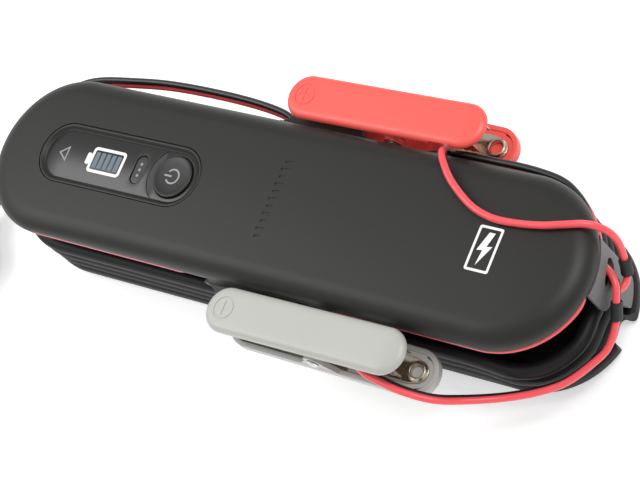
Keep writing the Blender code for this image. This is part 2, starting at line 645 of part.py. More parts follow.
def clamp_half(name, shift, up, surface):
    """One moulded half in the clamp's own frame: +X towards the jaw, pivot axis at the origin along Y.
    up is +1 for the upper half and -1 for the lower one."""
    spine = CLAMP_HALF_LENGTH - CLAMP_HALF_WIDTH
    rim = UPPER_RIM if up > 0 else LOWER_RIM
    profile = [(CLAMP_SKIN, CLAMP_OUTER - CLAMP_SKIN), (CLAMP_SKIN, rim), (0.4 * MM, rim),
               (0, rim + 0.4 * MM), (0, CLAMP_OUTER - 2.4 * MM), (0.7 * MM, CLAMP_OUTER - 0.7 * MM),
               (2.4 * MM, CLAMP_OUTER)]
    rings = pill_rings(spine, CLAMP_HALF_WIDTH, profile, centre=shift, quarter_steps=5, side_steps=2)
    rings = [[(x, y, up * z) for x, y, z in ring] for ring in rings]
    half = add_object(name, loft(rings), surface)
    flat = sorted((up * (rim + 0.5 * MM), up * (CLAMP_OUTER - 1 * MM)))
    tip = shift + CLAMP_HALF_LENGTH
    jaw = block((12 * MM, -7.8 * MM, flat[0]), (tip - 7.5 * MM, 7.8 * MM, flat[1]))
    join(half, add_object(name + "_jaw", jaw, None))
    near, far = (5.0, 6.9) if up > 0 else (7.3, 9.4)
    for side in (1, -1):
        disc = rod(CHEEK_RADIUS, near * MM, far * MM, 20, axis=(0, side, 0))
        join(half, add_object(f"{name}_cheek_{side}", disc, None))
        web = sorted((0.0, up * (CLAMP_OUTER - 1 * MM)))
        sides = sorted((side * near * MM, side * far * MM))
        root = block((-CHEEK_RADIUS * 0.999, sides[0], web[0]), (CHEEK_RADIUS * 0.999, sides[1], web[1]))
        join(half, add_object(f"{name}_web_{side}", root, None))
    bore = rod(PIN_RADIUS + FIT_GAP, -15 * MM, 15 * MM, 16, axis=(0, 1, 0))
    cut(half, add_object(name + "_bore", bore, None))
    return half


def cut_ear_side(half, name, inward):
    """Opens the lower skirt that faces the housing, so that the ear can stand between the two halves."""
    z = (CLAMP_SKIN - CLAMP_OUTER, -3 * MM)
    y = sorted((inward * 11 * MM, inward * 4.4 * MM))
    opening = block((-60 * MM, y[0], z[0]), (-13 * MM, y[1], z[1]))
    cut(half, add_object(name + "_ear_side", opening, None))


def cut_lead_channel(half, name, inward):
    """A shallow upright channel for the lead that climbs past the upper half."""
    y = sorted((inward * 11 * MM, inward * 8.0 * MM))
    channel = block((22.5 * MM, y[0], 2 * MM), (33 * MM, y[1], CLAMP_OUTER - 1.4 * MM))
    cut(half, add_object(name + "_channel", channel, None))


def contact_plate(name, tip, up, surface):
    """Nickel-plated contact on a half's jaw: the lower one is flat with a raised hole, the upper one has
    two toothed sides that reach down to it."""
    rim = UPPER_RIM if up > 0 else LOWER_RIM
    seat = up * (rim + 0.2 * MM)
    face = up * (rim - 0.6 * MM)
    low, high = sorted((seat, face))
    plate = add_object(name, block((14 * MM, -5.4 * MM, low), (tip - 5.2 * MM, 5.4 * MM, high)), surface)
    if up < 0:
        hole_x = tip - HOLE_FROM_END
        ring = rod(4.1 * MM, low + 0.1 * MM, high + 1.1 * MM, 20, at=(hole_x, 0, 0))
        join(plate, add_object(name + "_ring", ring, None))
        cut(plate, add_object(name + "_hole", rod(2.65 * MM, -9 * MM, 0, 20, at=(hole_x, 0, 0)), None))
        return plate
    for side in (1, -1):
        y = sorted((side * 4.6 * MM, side * 5.3 * MM))
        cheek = block((28 * MM, y[0], -2.6 * MM), (39 * MM, y[1], high - 0.1 * MM))
        join(plate, add_object(f"{name}_side_{side}", cheek, None))
    for k in range(3):
        x = (30.6 + 3.4 * k) * MM
        notch = rod(1.3 * MM, -8 * MM, 8 * MM, 4, axis=(0, 1, 0), at=(x, 0, -2.9 * MM))
        cut(plate, add_object(f"{name}_tooth_{k}", notch, None))
    return plate


def place_clamp_piece(piece, tilt, pivot):
    """Stands a clamp piece at its pivot, tilted about the pivot axis; its cutters go with it."""
    piece.matrix_world = Matrix.Translation(pivot) @ Matrix.Rotation(tilt, 4, "Y")
    for change in piece.modifiers:
        change.object.parent = piece


def make_clamp(prefix, pivot_x, side, surface, surfaces):
    pivot = Vector((pivot_x, side * CLAMP_Y, PIVOT_Z))
    inward = -side
    upper = clamp_half(f"{prefix}_clamp_upper_half", UPPER_SHIFT, 1, surface)
    lower = clamp_half(f"{prefix}_clamp_lower_half", LOWER_SHIFT, -1, surface)
    cut_ear_side(lower, f"{prefix}_lower", inward)
    if side > 0:
        cut_lead_channel(upper, f"{prefix}_upper", inward)
    metal = surfaces["nickel"]
    upper_plate = contact_plate(f"{prefix}_clamp_upper_contact", UPPER_SHIFT + CLAMP_HALF_LENGTH, 1, metal)
    lower_plate = contact_plate(f"{prefix}_clamp_lower_contact", LOWER_SHIFT + CLAMP_HALF_LENGTH, -1, metal)
    head = [(0, -10.4 * MM), (2.0 * MM, -10.4 * MM), (2.6 * MM, -9.9 * MM), (2.6 * MM, -9.7 * MM),
            (PIN_RADIUS, -9.7 * MM)]
    profile = head + [(r, -h) for r, h in reversed(head)]
    pin = add_object(f"{prefix}_clamp_pin", turned(profile, 14, axis=(0, 1, 0)), surfaces["steel"])
    spring = collar(2.1 * MM, 3.3 * MM, -4.4 * MM, 4.4 * MM, 14, axis=(0, 1, 0))
    coil = add_object(f"{prefix}_clamp_spring", spring, surfaces["steel"])
    for piece, tilt in ((upper, -CLAMP_TILT), (lower, CLAMP_TILT), (upper_plate, -CLAMP_TILT),
                        (lower_plate, CLAMP_TILT), (pin, 0.0), (coil, 0.0)):
        place_clamp_piece(piece, tilt, pivot)


# ---------------------------------------------------------------- the whole charger

def make_surfaces():
    return {
        "soft_black": material("soft touch black", (0.045, 0.045, 0.041), 0.55),
        "base_black": material("moulded black", (0.022, 0.022, 0.023), 0.5),
        "bezel_black": material("bezel black", (0.04, 0.04, 0.037), 0.5),
        "window_black": material("display face", (0.03, 0.03, 0.027), 0.4),
        "button_black": material("button black", (0.032, 0.032, 0.029), 0.45),
        "rubber": material("rubber", (0.018, 0.018, 0.019), 0.7),
        "strap_grey": material("strap grey", (0.09, 0.09, 0.092), 0.6),
        "clamp_red": material("clamp red", (0.9, 0.105, 0.09), 0.4),
        "clamp_grey": material("clamp light grey", (0.6, 0.6, 0.56), 0.4),
        "cord_black": material("cord black", (0.016, 0.016, 0.018), 0.45),
        "lead_red": material("lead red", (0.85, 0.09, 0.11), 0.4),
        "nickel": material("nickel plate", (0.55, 0.48, 0.37), 0.28, 1.0),
        "steel": material("steel", (0.6, 0.6, 0.6), 0.3, 1.0),
        "board_green": material("board green", (0.03, 0.16, 0.07), 0.5),
        "ferrite": material("ferrite", (0.05, 0.05, 0.05), 0.6),
        "copper": material("enamelled copper", (0.55, 0.22, 0.08), 0.35, 0.9),
        "can_blue": material("capacitor sleeve", (0.03, 0.06, 0.2), 0.35),
        "aluminium": material("aluminium", (0.75, 0.75, 0.76), 0.35, 1.0),
        "clear": material("light guide", (0.8, 0.82, 0.85), 0.2),
    }


def make_charger():
    clear_scene()
    surfaces = make_surfaces()
    make_housing(surfaces)
    make_display(surfaces)
    make_display_electronics(surfaces)
    make_electronics(surfaces)
    make_mains_lead(surfaces)
    make_plug(surfaces)
    make_twin_lead(surfaces)
    make_clamp_leads(surfaces)
    make_end_strap(surfaces)
    make_clamp("red", RED_PIVOT_X, 1, surfaces["clamp_red"], surfaces)
    make_clamp("grey", GREY_PIVOT_X, -1, surfaces["clamp_grey"], surfaces)


make_charger()
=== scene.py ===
"""Looks of a car battery charger that is its own cord reel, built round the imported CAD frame.

Frame: origin at the middle of the underside, +X towards the strap end, +Y towards the red clamp, +Z up.
Routes and sizes are in millimetres here, and become metres in add_piece, round_cord and mm.
"""

import json
import math

import bmesh
import bpy
from mathutils import Matrix, Vector


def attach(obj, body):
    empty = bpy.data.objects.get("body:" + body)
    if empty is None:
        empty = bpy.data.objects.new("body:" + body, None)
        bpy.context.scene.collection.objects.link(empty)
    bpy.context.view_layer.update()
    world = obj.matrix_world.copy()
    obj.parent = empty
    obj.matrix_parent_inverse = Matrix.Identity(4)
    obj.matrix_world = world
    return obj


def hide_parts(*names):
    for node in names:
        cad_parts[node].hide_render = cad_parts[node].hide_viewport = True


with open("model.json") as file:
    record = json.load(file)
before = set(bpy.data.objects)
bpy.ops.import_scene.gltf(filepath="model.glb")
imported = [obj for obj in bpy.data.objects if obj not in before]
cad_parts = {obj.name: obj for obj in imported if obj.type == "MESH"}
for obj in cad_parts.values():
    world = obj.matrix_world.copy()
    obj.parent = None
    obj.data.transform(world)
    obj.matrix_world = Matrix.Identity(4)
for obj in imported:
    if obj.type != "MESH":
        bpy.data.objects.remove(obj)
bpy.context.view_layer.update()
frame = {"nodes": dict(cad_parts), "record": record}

MM = 0.001

# Housing, as the CAD has it
HALF_LENGTH = 148.5
HALF_WIDTH = 36.0
SPINE = HALF_LENGTH - HALF_WIDTH
HEIGHT = 57.0
WALL = 2.4
RIM_Z = 46.5
LEDGE_TOP = 49.0
CROWN_X = 35.0
CROWN_DROP = 3.5
CROSS_DROP = 1.2
EDGE_RUN = 9.0
FLANGE_TOP = 8.0
FLANGE_BOTTOM = 1.5
CORE_TOP = 45.2
EAR_BOTTOM, EAR_TOP = 41.5, 45.5

# Display
DISPLAY_X, DISPLAY_SPINE, DISPLAY_HALF_WIDTH, DISPLAY_SINK = -77.75, 30.35, 13.9, 1.6
BUTTON_X, BUTTON_RADIUS = -48.0, 9.4
BADGE_X = -67.0
BADGE_SPINE, BADGE_RADIUS = 3.4, 3.2
PRINT_ROOT = 0.25

# Clamps
CLAMP_Y, PIVOT_Z = 47.5, 43.5
PIVOT_X = {"red": 39.6, "grey": 44.8}
CLAMP_SIDE = {"red": 1, "grey": -1}
CLAMP_HALF_LENGTH, CLAMP_HALF_WIDTH = 48.5, 9.6
CLAMP_OUTER, CLAMP_SKIN = 12.0, 2.2
CLAMP_TILT = math.radians(2.35)
RIM = {1: 8.6, -1: 5.5}
SHIFT = {1: -3.3, -1: 1.7}
HOLE_FROM_END = 8.3
PLATE_END_RADIUS = 4.5
PLATE_HALF_WIDTH = 5.3
HOLE_RADIUS = 2.65
CLAMP_EDGE = 2.6
CHEEK_RADIUS = 4.4
BORE_RADIUS = 1.9
TIP_RUN, TIP_DROP = 11.0, 1.3
SIGN_DEPTH = 0.22

# Leads
MAINS_RADIUS = 3.25
CORE_RADIUS = 1.45
TWIN_Z = 44.0
CORE_SPREAD = 1.42
SLEEVE_HALF_LENGTH = 3.6
PLUG_X, PLUG_Z = -178.5, 7.2
MAINS_OUTER, TWIN_OUTER = 35.8, 35.6

# Strap: where it starts and how far it goes round the end, in degrees, and its lower edge
STRAP_START, STRAP_SWEEP = -8, 40
STRAP_BOTTOM, STRAP_CORNER, STRAP_THICKNESS = 9.3, 4.0, 2.0
LUG_RISE = 17.5


def mm(*values):
    return Vector(values) * MM


# ---------------------------------------------------------------- mesh helpers

def add_piece(name, data, surface, angle=32):
    """A mesh piece from bmesh data given in millimetres."""
    bmesh.ops.recalc_face_normals(data, faces=data.faces)
    bmesh.ops.scale(data, vec=(MM, MM, MM), verts=data.verts)
    mesh = bpy.data.meshes.new(name)
    data.to_mesh(mesh)
    data.free()
    made = bpy.data.objects.new(name, mesh)
    bpy.context.scene.collection.objects.link(made)
    if surface:
        mesh.materials.append(surface)
    smooth(made, angle)
    return made


def smooth(piece, angle=32):
    """Smooth shading, with edges sharper than the angle in degrees left hard."""
    piece.data.shade_smooth()
    piece.data.set_sharp_from_angle(angle=math.radians(angle))


def apply_modifiers(piece):
    graph = bpy.context.evaluated_depsgraph_get()
    mesh = bpy.data.meshes.new_from_object(piece.evaluated_get(graph))
    piece.modifiers.clear()
    piece.data = mesh


def carve(target, data, operation="DIFFERENCE"):
    """Cuts a shape, given as bmesh data, out of a piece."""
    tool = add_piece("tool", data, None)
    change = target.modifiers.new("carve", "BOOLEAN")
    change.operation = operation
    change.object = tool
    apply_modifiers(target)
    bpy.data.objects.remove(tool, do_unlink=True)


def join(target, data):
    carve(target, data, "UNION")


def stadium(spine, radius, quarter_steps=20, side_steps=60):
    """Points of a pill outline, counter-clockwise from its +X tip, symmetrical about the X axis."""
    quarter = math.pi / 2
    points = []
    for k in range(quarter_steps + 1):
        a = quarter * k / quarter_steps
        points.append((spine + radius * math.cos(a), radius * math.sin(a)))
    for k in range(1, side_steps):
        points.append((spine - 2 * spine * k / side_steps, radius))
    for k in range(2 * quarter_steps + 1):
        a = quarter * (1 + k / quarter_steps)
        points.append((-spine + radius * math.cos(a), radius * math.sin(a)))
    for k in range(1, side_steps):
        points.append((-spine + 2 * spine * k / side_steps, -radius))
    for k in range(quarter_steps):
        a = quarter * (3 + k / quarter_steps)
        points.append((spine + radius * math.cos(a), radius * math.sin(a)))
    return points


def ladder_cap(data, ring):
    """Closes a symmetrical ring with a ladder of faces, so that it can follow a curved top."""
    count = len(ring)
    for k in range(count // 2):
        corners = [ring[k], ring[k + 1], ring[count - k - 1], ring[(count - k) % count]]
        kept = [v for i, v in enumerate(corners) if v not in corners[:i]]
        data.faces.new(kept)


def skin_rings(rings, closed=False):
    """Faces between rings of equally many points; also gives back the rings' vertices."""
    data = bmesh.new()
    levels = [[data.verts.new(p) for p in ring] for ring in rings]
    count = len(levels[0])
    following = levels[1:] + levels[:1] if closed else levels[1:]
    for low, high in zip(levels, following):
        for i in range(count):
            j = (i + 1) % count
            data.faces.new((low[i], low[j], high[j], high[i]))
    return data, levels


def loft(rings):
    """A solid through symmetrical rings, closed at both ends with ladder caps."""
    data, levels = skin_rings(rings)
    ladder_cap(data, levels[0])
    ladder_cap(data, levels[-1])
    return data


def capped(rings):
    """A solid through rings, closed at both ends with one flat face each."""
    data, levels = skin_rings(rings)
    for level in (levels[0], levels[-1]):
        data.faces.new(level)
    return data


def band(rings):
    """A solid ring: the last outline joins the first."""
    return skin_rings(rings, closed=True)[0]


def pill_rings(spine, radius, profile, centre=0.0, **steps):
    """Rings of a pill shape: profile lists (inset, z), where z may be a function of x and inset."""
    rings = []
    for inset, z in profile:
        ring = []
        for x, y in stadium(spine, radius - inset, **steps):
            ring.append((x + centre, y, z(x + centre, inset) if callable(z) else z))
        rings.append(ring)
    return rings


def prism(outline, low, high, bevel=0.0):
    """An upright prism on an outline, with bevelled rims if asked."""
    data = bmesh.new()
    floor = data.faces.new([data.verts.new((x, y, low)) for x, y in outline])
    grown = bmesh.ops.extrude_face_region(data, geom=[floor])
    moved = [v for v in grown["geom"] if isinstance(v, bmesh.types.BMVert)]
    bmesh.ops.translate(data, verts=moved, vec=(0, 0, high - low))
    if bevel:
        flat = [e for e in data.edges if abs(e.verts[0].co.z - e.verts[1].co.z) < 1e-6]
        bmesh.ops.bevel(data, geom=flat, offset=bevel, segments=3, profile=0.5, affect="EDGES",
                        clamp_overlap=True)
    return data


def block(low, high):
    data = bmesh.new()
    size = [h - l for l, h in zip(low, high)]
    middle = [(l + h) / 2 for l, h in zip(low, high)]
    shape = Matrix.Translation(middle) @ Matrix.Diagonal((*size, 1))
    bmesh.ops.create_cube(data, size=1.0, matrix=shape)
    return data


def turned(profile, segments=48, axis=(0, 0, 1), at=(0, 0, 0)):
    """A body of revolution from (radius, height) pairs; off the axis, the profile closes into a ring."""
    data = bmesh.new()
    ring = profile[0][0] > 0
    turn = Vector((0, 0, 1)).rotation_difference(Vector(axis)).to_matrix().to_4x4()
    place = Matrix.Translation(at) @ turn
    levels = []
    for radius, height in profile:
        if radius == 0:
            levels.append([data.verts.new(place @ Vector((0, 0, height)))] * segments)
            continue
        level = []
        for k in range(segments):
            a = 2 * math.pi * k / segments
            point = Vector((radius * math.cos(a), radius * math.sin(a), height))
            level.append(data.verts.new(place @ point))
        levels.append(level)
    pairs = list(zip(levels, levels[1:]))
    if ring:
        pairs.append((levels[-1], levels[0]))
    for low, high in pairs:
        for i in range(segments):
            j = (i + 1) % segments
            corners = (low[i], low[j], high[j], high[i])
            data.faces.new([v for n, v in enumerate(corners) if v not in corners[:n]])
    return data


def rod(radius, low, high, segments=48, axis=(0, 0, 1), at=(0, 0, 0)):
    return turned([(0, low), (radius, low), (radius, high), (0, high)], segments, axis, at)


def collar(inner, outer, low, high, segments=48, axis=(0, 0, 1), at=(0, 0, 0)):
    return turned([(inner, low), (outer, low), (outer, high), (inner, high)], segments, axis, at)


def arc(radius, start, end, steps, centre=(0.0, 0.0)):
    """Points on an arc; angles in degrees."""
    points = []
    for k in range(steps + 1):
        a = math.radians(start + (end - start) * k / steps)
        points.append((centre[0] + radius * math.cos(a), centre[1] + radius * math.sin(a)))
    return points


def smooth_route(points, spacing):
    """Points about spacing apart on a Catmull-Rom curve through the route's own points."""
    pts = [Vector(p) for p in points]
    pts = [2 * pts[0] - pts[1]] + pts + [2 * pts[-1] - pts[-2]]
    fine = []
    for a, b, c, d in zip(pts, pts[1:], pts[2:], pts[3:]):
        steps = max(2, round((c - b).length / spacing))
        for k in range(steps):
            t = k / steps
            fine.append(0.5 * (2 * b + (c - a) * t + (2 * a - 5 * b + 4 * c - d) * t * t
                               + (3 * b - a - 3 * c + d) * t ** 3))
    fine.append(pts[-2])
    return fine


# ---------------------------------------------------------------- materials

def start_surface(name):
    made = bpy.data.materials.new(name)
    made.use_nodes = True
    nodes = made.node_tree.nodes
    return made, nodes, made.node_tree.links, nodes["Principled BSDF"], nodes.new("ShaderNodeTexCoord")


def noise(nodes, links, vector, scale, detail):
    made = nodes.new("ShaderNodeTexNoise")
    made.inputs["Scale"].default_value = scale
    made.inputs["Detail"].default_value = detail
    links.new(vector, made.inputs["Vector"])
    return made.outputs["Fac"]


def finish_surface(nodes, links, shader, drift, tones, fine, limits, bump, depth):
    """Drift mixes the two tones; the fine noise drives the bump, and the roughness between its limits."""
    shade = nodes.new("ShaderNodeMix")
    shade.data_type = "RGBA"
    shade.inputs["A"].default_value = (*tones[0], 1.0)
    shade.inputs["B"].default_value = (*[min(1.0, c) for c in tones[1]], 1.0)
    links.new(drift, shade.inputs["Factor"])
    links.new(shade.outputs["Result"], shader.inputs["Base Color"])
    spread = nodes.new("ShaderNodeMapRange")
    spread.inputs["To Min"].default_value, spread.inputs["To Max"].default_value = limits
    links.new(fine, spread.inputs["Value"])
    links.new(spread.outputs["Result"], shader.inputs["Roughness"])
    relief = nodes.new("ShaderNodeBump")
    relief.inputs["Strength"].default_value = bump
    relief.inputs["Distance"].default_value = depth
    links.new(fine, relief.inputs["Height"])
    links.new(relief.outputs["Normal"], shader.inputs["Normal"])


def plastic(name, colour, roughness, grain=1400.0, bump=0.04, tone=0.06, coat=0.0, sheen=0.0, gloss=0.5):
    """Moulded plastic or rubber: a fine grain in the bump, and a slow drift of tone and roughness."""
    made, nodes, links, shader, place = start_surface(name)
    drift = noise(nodes, links, place.outputs["Object"], 28.0, 3.0)
    fine = noise(nodes, links, place.outputs["Object"], grain, 4.0)
    tones = ([c * (1 - tone) for c in colour], [c * (1 + tone) for c in colour])
    limits = (roughness - 0.05, roughness + 0.06)
    finish_surface(nodes, links, shader, drift, tones, fine, limits, bump, 0.0004)
    shader.inputs["Coat Weight"].default_value = coat
    shader.inputs["Coat Roughness"].default_value = 0.25
    shader.inputs["Sheen Weight"].default_value = sheen
    shader.inputs["Sheen Roughness"].default_value = 0.4
    shader.inputs["Specular IOR Level"].default_value = gloss
    return made


def metal(name, colour, roughness, brush=(900.0, 60.0, 900.0), wear=0.12):
    """Plated or drawn metal: fine streaks along one axis and slightly duller patches."""
    made, nodes, links, shader, place = start_surface(name)
    stretch = nodes.new("ShaderNodeMapping")
    stretch.inputs["Scale"].default_value = brush
    links.new(place.outputs["Object"], stretch.inputs["Vector"])
    streak = noise(nodes, links, stretch.outputs["Vector"], 1.0, 5.0)
    patch = noise(nodes, links, place.outputs["Object"], 120.0, 2.0)
    tones = ([c * (1 - wear) for c in colour], [c * (1 + wear / 2) for c in colour])
    limits = (roughness * 0.7, roughness * 1.5)
    finish_surface(nodes, links, shader, patch, tones, streak, limits, 0.12, 0.0002)
    shader.inputs["Metallic"].default_value = 1.0
    return made


SURFACES = {
    "housing_charcoal": plastic("soft-touch charcoal", (0.014, 0.0135, 0.012), 0.46, tone=0.05, sheen=0.03,
                                gloss=0.38),
    "base_black": plastic("moulded black", (0.011, 0.011, 0.0115), 0.50, gloss=0.3, bump=0.10, grain=900.0),
    "pad_rubber": plastic("foot rubber", (0.018, 0.018, 0.018), 0.75, bump=0.12, grain=700.0),
    "seal_rubber": plastic("seal rubber", (0.03, 0.03, 0.03), 0.7),
    "strap_rubber": plastic("strap rubber", (0.125, 0.125, 0.128), 0.55, bump=0.10, grain=800.0, tone=0.1),
    "display_black": plastic("recess wall", (0.011, 0.0108, 0.010), 0.48, tone=0.05),
    "display_window": plastic("display face", (0.007, 0.007, 0.0062), 0.34, bump=0.015, coat=0.2),
    "button_rubber": plastic("button face", (0.009, 0.009, 0.0082), 0.42, bump=0.05, grain=1000.0),
    "badge_grey": plastic("badge face", (0.03, 0.03, 0.03), 0.4),
    "light_guide": plastic("light guide", (0.75, 0.8, 0.8), 0.25, bump=0.01),
    "clamp_red": plastic("clamp red", (0.90, 0.105, 0.085), 0.42, tone=0.03, bump=0.05, coat=0.12),
    "clamp_grey": plastic("clamp light grey", (0.44, 0.438, 0.412), 0.42, tone=0.03, bump=0.05, coat=0.12),
    "nickel": metal("nickel plate", (0.60, 0.53, 0.43), 0.22),
    "steel": metal("zinc-plated steel", (0.62, 0.62, 0.62), 0.3),
    "cord_black": plastic("mains jacket", (0.010, 0.0095, 0.011), 0.50, bump=0.10, grain=600.0, gloss=0.25),
    "rubber": plastic("gland rubber", (0.009, 0.009, 0.0095), 0.62, bump=0.1, grain=700.0),
    "lead_red": plastic("red conductor jacket", (0.86, 0.085, 0.10), 0.36, bump=0.05, grain=800.0, coat=0.15),
    "lead_black": plastic("black conductor jacket", (0.012, 0.012, 0.013), 0.38, bump=0.05, grain=800.0,
                          coat=0.15),
    "board_green": plastic("solder mask", (0.03, 0.16, 0.07), 0.4, tone=0.15),
    "ferrite": plastic("ferrite", (0.05, 0.05, 0.055), 0.7, bump=0.15, grain=900.0),
    "copper": metal("enamelled copper", (0.62, 0.27, 0.11), 0.35, brush=(60.0, 1500.0, 60.0)),
    "part_black": plastic("component black", (0.03, 0.03, 0.03), 0.45),
    "can_sleeve": plastic("capacitor sleeve", (0.03, 0.05, 0.14), 0.3, bump=0.02, coat=0.3),
    "aluminium": metal("anodised aluminium", (0.75, 0.76, 0.77), 0.35, brush=(80.0, 80.0, 1500.0)),
    "fuse_glass": plastic("fuse glass", (0.7, 0.75, 0.75), 0.1, bump=0.005, tone=0.02),
    "print_white": plastic("white print", (0.86, 0.88, 0.88), 0.45, bump=0.03, tone=0.03),
    "print_blue": plastic("grey-blue bars", (0.13, 0.17, 0.21), 0.4, bump=0.03, tone=0.08),
    "print_grey": plastic("grey print", (0.30, 0.31, 0.31), 0.45, bump=0.03, tone=0.05),
}


def place(piece, slot, body="root", replaces=()):
    """Gives a piece its body and hides the CAD nodes that it stands for; the slot argument is not used."""
    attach(piece, body)
    if replaces:
        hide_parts(*replaces)
    return piece


def dress_cad_nodes():
    """Every CAD node that stays gets the procedural material of its slot."""
    for row in frame["record"]["subparts"]:
        node = frame["nodes"][row["node"]]
        if not node.hide_render:
            node.data.materials.clear()
            node.data.materials.append(SURFACES[row["material_slot"]])


# ---------------------------------------------------------------- camera and light

CAMERA_AT = mm(553.3, -222.9, 780.3)
CAMERA_RIGHT = Vector((0.8032, 0.3807, -0.4582))
CAMERA_UP = Vector((-0.1889, 0.8922, 0.4102))
CAMERA_BACK = Vector((0.5650, -0.2429, 0.7885))


def make_camera():
    data = bpy.data.cameras.new("camera")
    data.lens = 131.8
    data.sensor_width = 36.0
    data.shift_x = -0.0198
    data.shift_y = -0.0416
    data.clip_start = 0.05
    camera = bpy.data.objects.new("camera", data)
    bpy.context.scene.collection.objects.link(camera)
    axes = Matrix((CAMERA_RIGHT, CAMERA_UP, CAMERA_BACK)).transposed().to_4x4()
    camera.matrix_world = Matrix.Translation(CAMERA_AT) @ axes
    bpy.context.scene.camera = camera


def area_light(name, at, target, size, power):
    data = bpy.data.lights.new(name, "AREA")
    data.shape = "RECTANGLE"
    data.size, data.size_y = size
    data.energy = power
    lamp = bpy.data.objects.new(name, data)
    bpy.context.scene.collection.objects.link(lamp)
    lamp.location = at
    lamp.rotation_euler = (Vector(target) - Vector(at)).to_track_quat("-Z", "Y").to_euler()


def make_stage():
    """White paper that glows a little, a white sky and two soft lamps."""
    data = bmesh.new()
    bmesh.ops.create_grid(data, x_segments=1, y_segments=1, size=3000)
    paper = plastic("floor paper", (0.9, 0.9, 0.9), 0.9, bump=0.0, tone=0.0)
    shader = paper.node_tree.nodes["Principled BSDF"]
    shader.inputs["Emission Color"].default_value = (1.0, 1.0, 1.0, 1.0)
    shader.inputs["Emission Strength"].default_value = 0.45
    floor = add_piece("floor", data, paper)
    floor.location.z = -0.0004
    world = bpy.data.worlds.new("studio")
    world.use_nodes = True
    sky = world.node_tree.nodes["Background"]
    sky.inputs["Color"].default_value = (1.0, 1.0, 1.0, 1.0)
    sky.inputs["Strength"].default_value = 0.62
    bpy.context.scene.world = world
    bpy.context.scene.view_settings.view_transform = "Standard"
    area_light("key", (0.70, 0.42, 1.35), (0.05, 0, 0.03), (0.55, 0.55), 10)
    area_light("fill", (-0.9, -0.2, 1.1), (0, 0, 0.03), (0.9, 0.7), 8)


# ---------------------------------------------------------------- the reel's path

def on_turn(turn, offset):
    """A plan point at a fraction of one turn round the pill, counter-clockwise from the middle of the far
    side, offset out from its spine line."""
    end_arc = math.pi * HALF_WIDTH
    along = (turn % 1.0) * sum([SPINE, end_arc, 2 * SPINE, end_arc, SPINE])
    if along < SPINE:
        return (-along, offset)
    along -= SPINE
    if along < end_arc:
        a = math.pi / 2 + along / HALF_WIDTH
        return (-SPINE + offset * math.cos(a), offset * math.sin(a))
    along -= end_arc
    if along < 2 * SPINE:
        return (-SPINE + along, -offset)
    along -= 2 * SPINE
    if along < end_arc:
        a = -math.pi / 2 + along / HALF_WIDTH
        return (SPINE + offset * math.cos(a), offset * math.sin(a))
    along -= end_arc
    return (SPINE - along, offset)


def bump_at(turn, centre, reach):
    """A bell curve of height 1."""
    away = (turn - centre) / reach
    return math.exp(-away * away)


def plateau(turn, low, high, fade):
    """1 between low and high, falling smoothly to 0 over fade on each side."""
    away = max(low - turn, turn - high, 0.0) / fade
    return 0.0 if away >= 1 else 1 - away * away * (3 - 2 * away)


def mains_edge(turn):
    """How far out the mains cord's outer side lies; it tucks in behind the strap."""
    bulge = 1.4 * bump_at(turn, 0.60, 0.07) + 2.6 * bump_at(turn, 0.690, 0.03)
    return MAINS_OUTER + bulge - 3.4 * plateau(turn, 0.742, 0.784, 0.026)


def twin_edge(turn):
    """The same for the twin lead, which also tucks in under the near ear and at its gland."""
    under_ear = 2.0 * plateau(turn, 0.466, 0.553, 0.014)
    in_strap = 2.6 * plateau(turn, 0.746, 0.784, 0.010)
    from_gland = 4.9 * plateau(turn, 0.779, 0.84, 0.018)
    return TWIN_OUTER - under_ear - max(in_strap, from_gland)


# ---------------------------------------------------------------- cords

MAINS_EXIT = (-112, 28.5, 12.5)
MAINS_LAYERS = (11.9, 18.5, 25.2)
TWIN_EXIT = (112, 27.4, 42)
BEHIND = (-0.35, 0.55, -0.75)
GREY_SLEEVE_ENDS = ((151.8, 0.6, 31.6), (152.2, -6.2, 26))
RED_SLEEVE_ENDS = ((151.4, 11.6, 30.0), (151.2, 15.2, 36.4))


def mains_route():
    """Three turns, one above the other; each climbs to the next on the far side by the gland, where the
    first swings out past the gland and the second tucks in behind the tail."""
    first, last, steps = 0.205, 1.08, 110
    route = [Vector(MAINS_EXIT), Vector((-117, 29.6, 12.3))]
    for level, z in enumerate(MAINS_LAYERS):
        for k in range(steps + 1):
            turn = first + (last - first) * k / steps
            tuck = 0.3 * level * bump_at(turn, 0.9, 0.1)
            x, y = on_turn(turn, mains_edge(turn % 1.0) - MAINS_RADIUS - tuck)
            route.append(Vector((x, y, z)))
        if level < 2:
            swing = 3.2 if level == 0 else -4.2
            climb = MAINS_LAYERS[level + 1] - z
            for k in range(1, 8):
                t = k / 8
                turn = last + (first + 1 - last) * t
                x, y = on_turn(turn, MAINS_OUTER - MAINS_RADIUS + swing * math.sin(math.pi * t) ** 2)
                route.append(Vector((x, y, z + climb * t * t * (3 - 2 * t))))
    tail = [(-66, 32.2, 25.0), (-75, 32.4, 24.9), (-84, 33.2, 24.8), (-96, 36.4, 24.8), (-108, 39.6, 24.4),
            (-120, 40.4, 23.6), (-133, 37.2, 22), (-146.5, 30.6, 18.6), (-158.5, 21.8, 14.4),
            (-169, 11.5, 10.2), (-176, 0.5, 7.8), (PLUG_X, -9, PLUG_Z), (PLUG_X, -15, PLUG_Z),
            (PLUG_X, -22.6, PLUG_Z)]
    return route + [Vector(p) for p in tail]


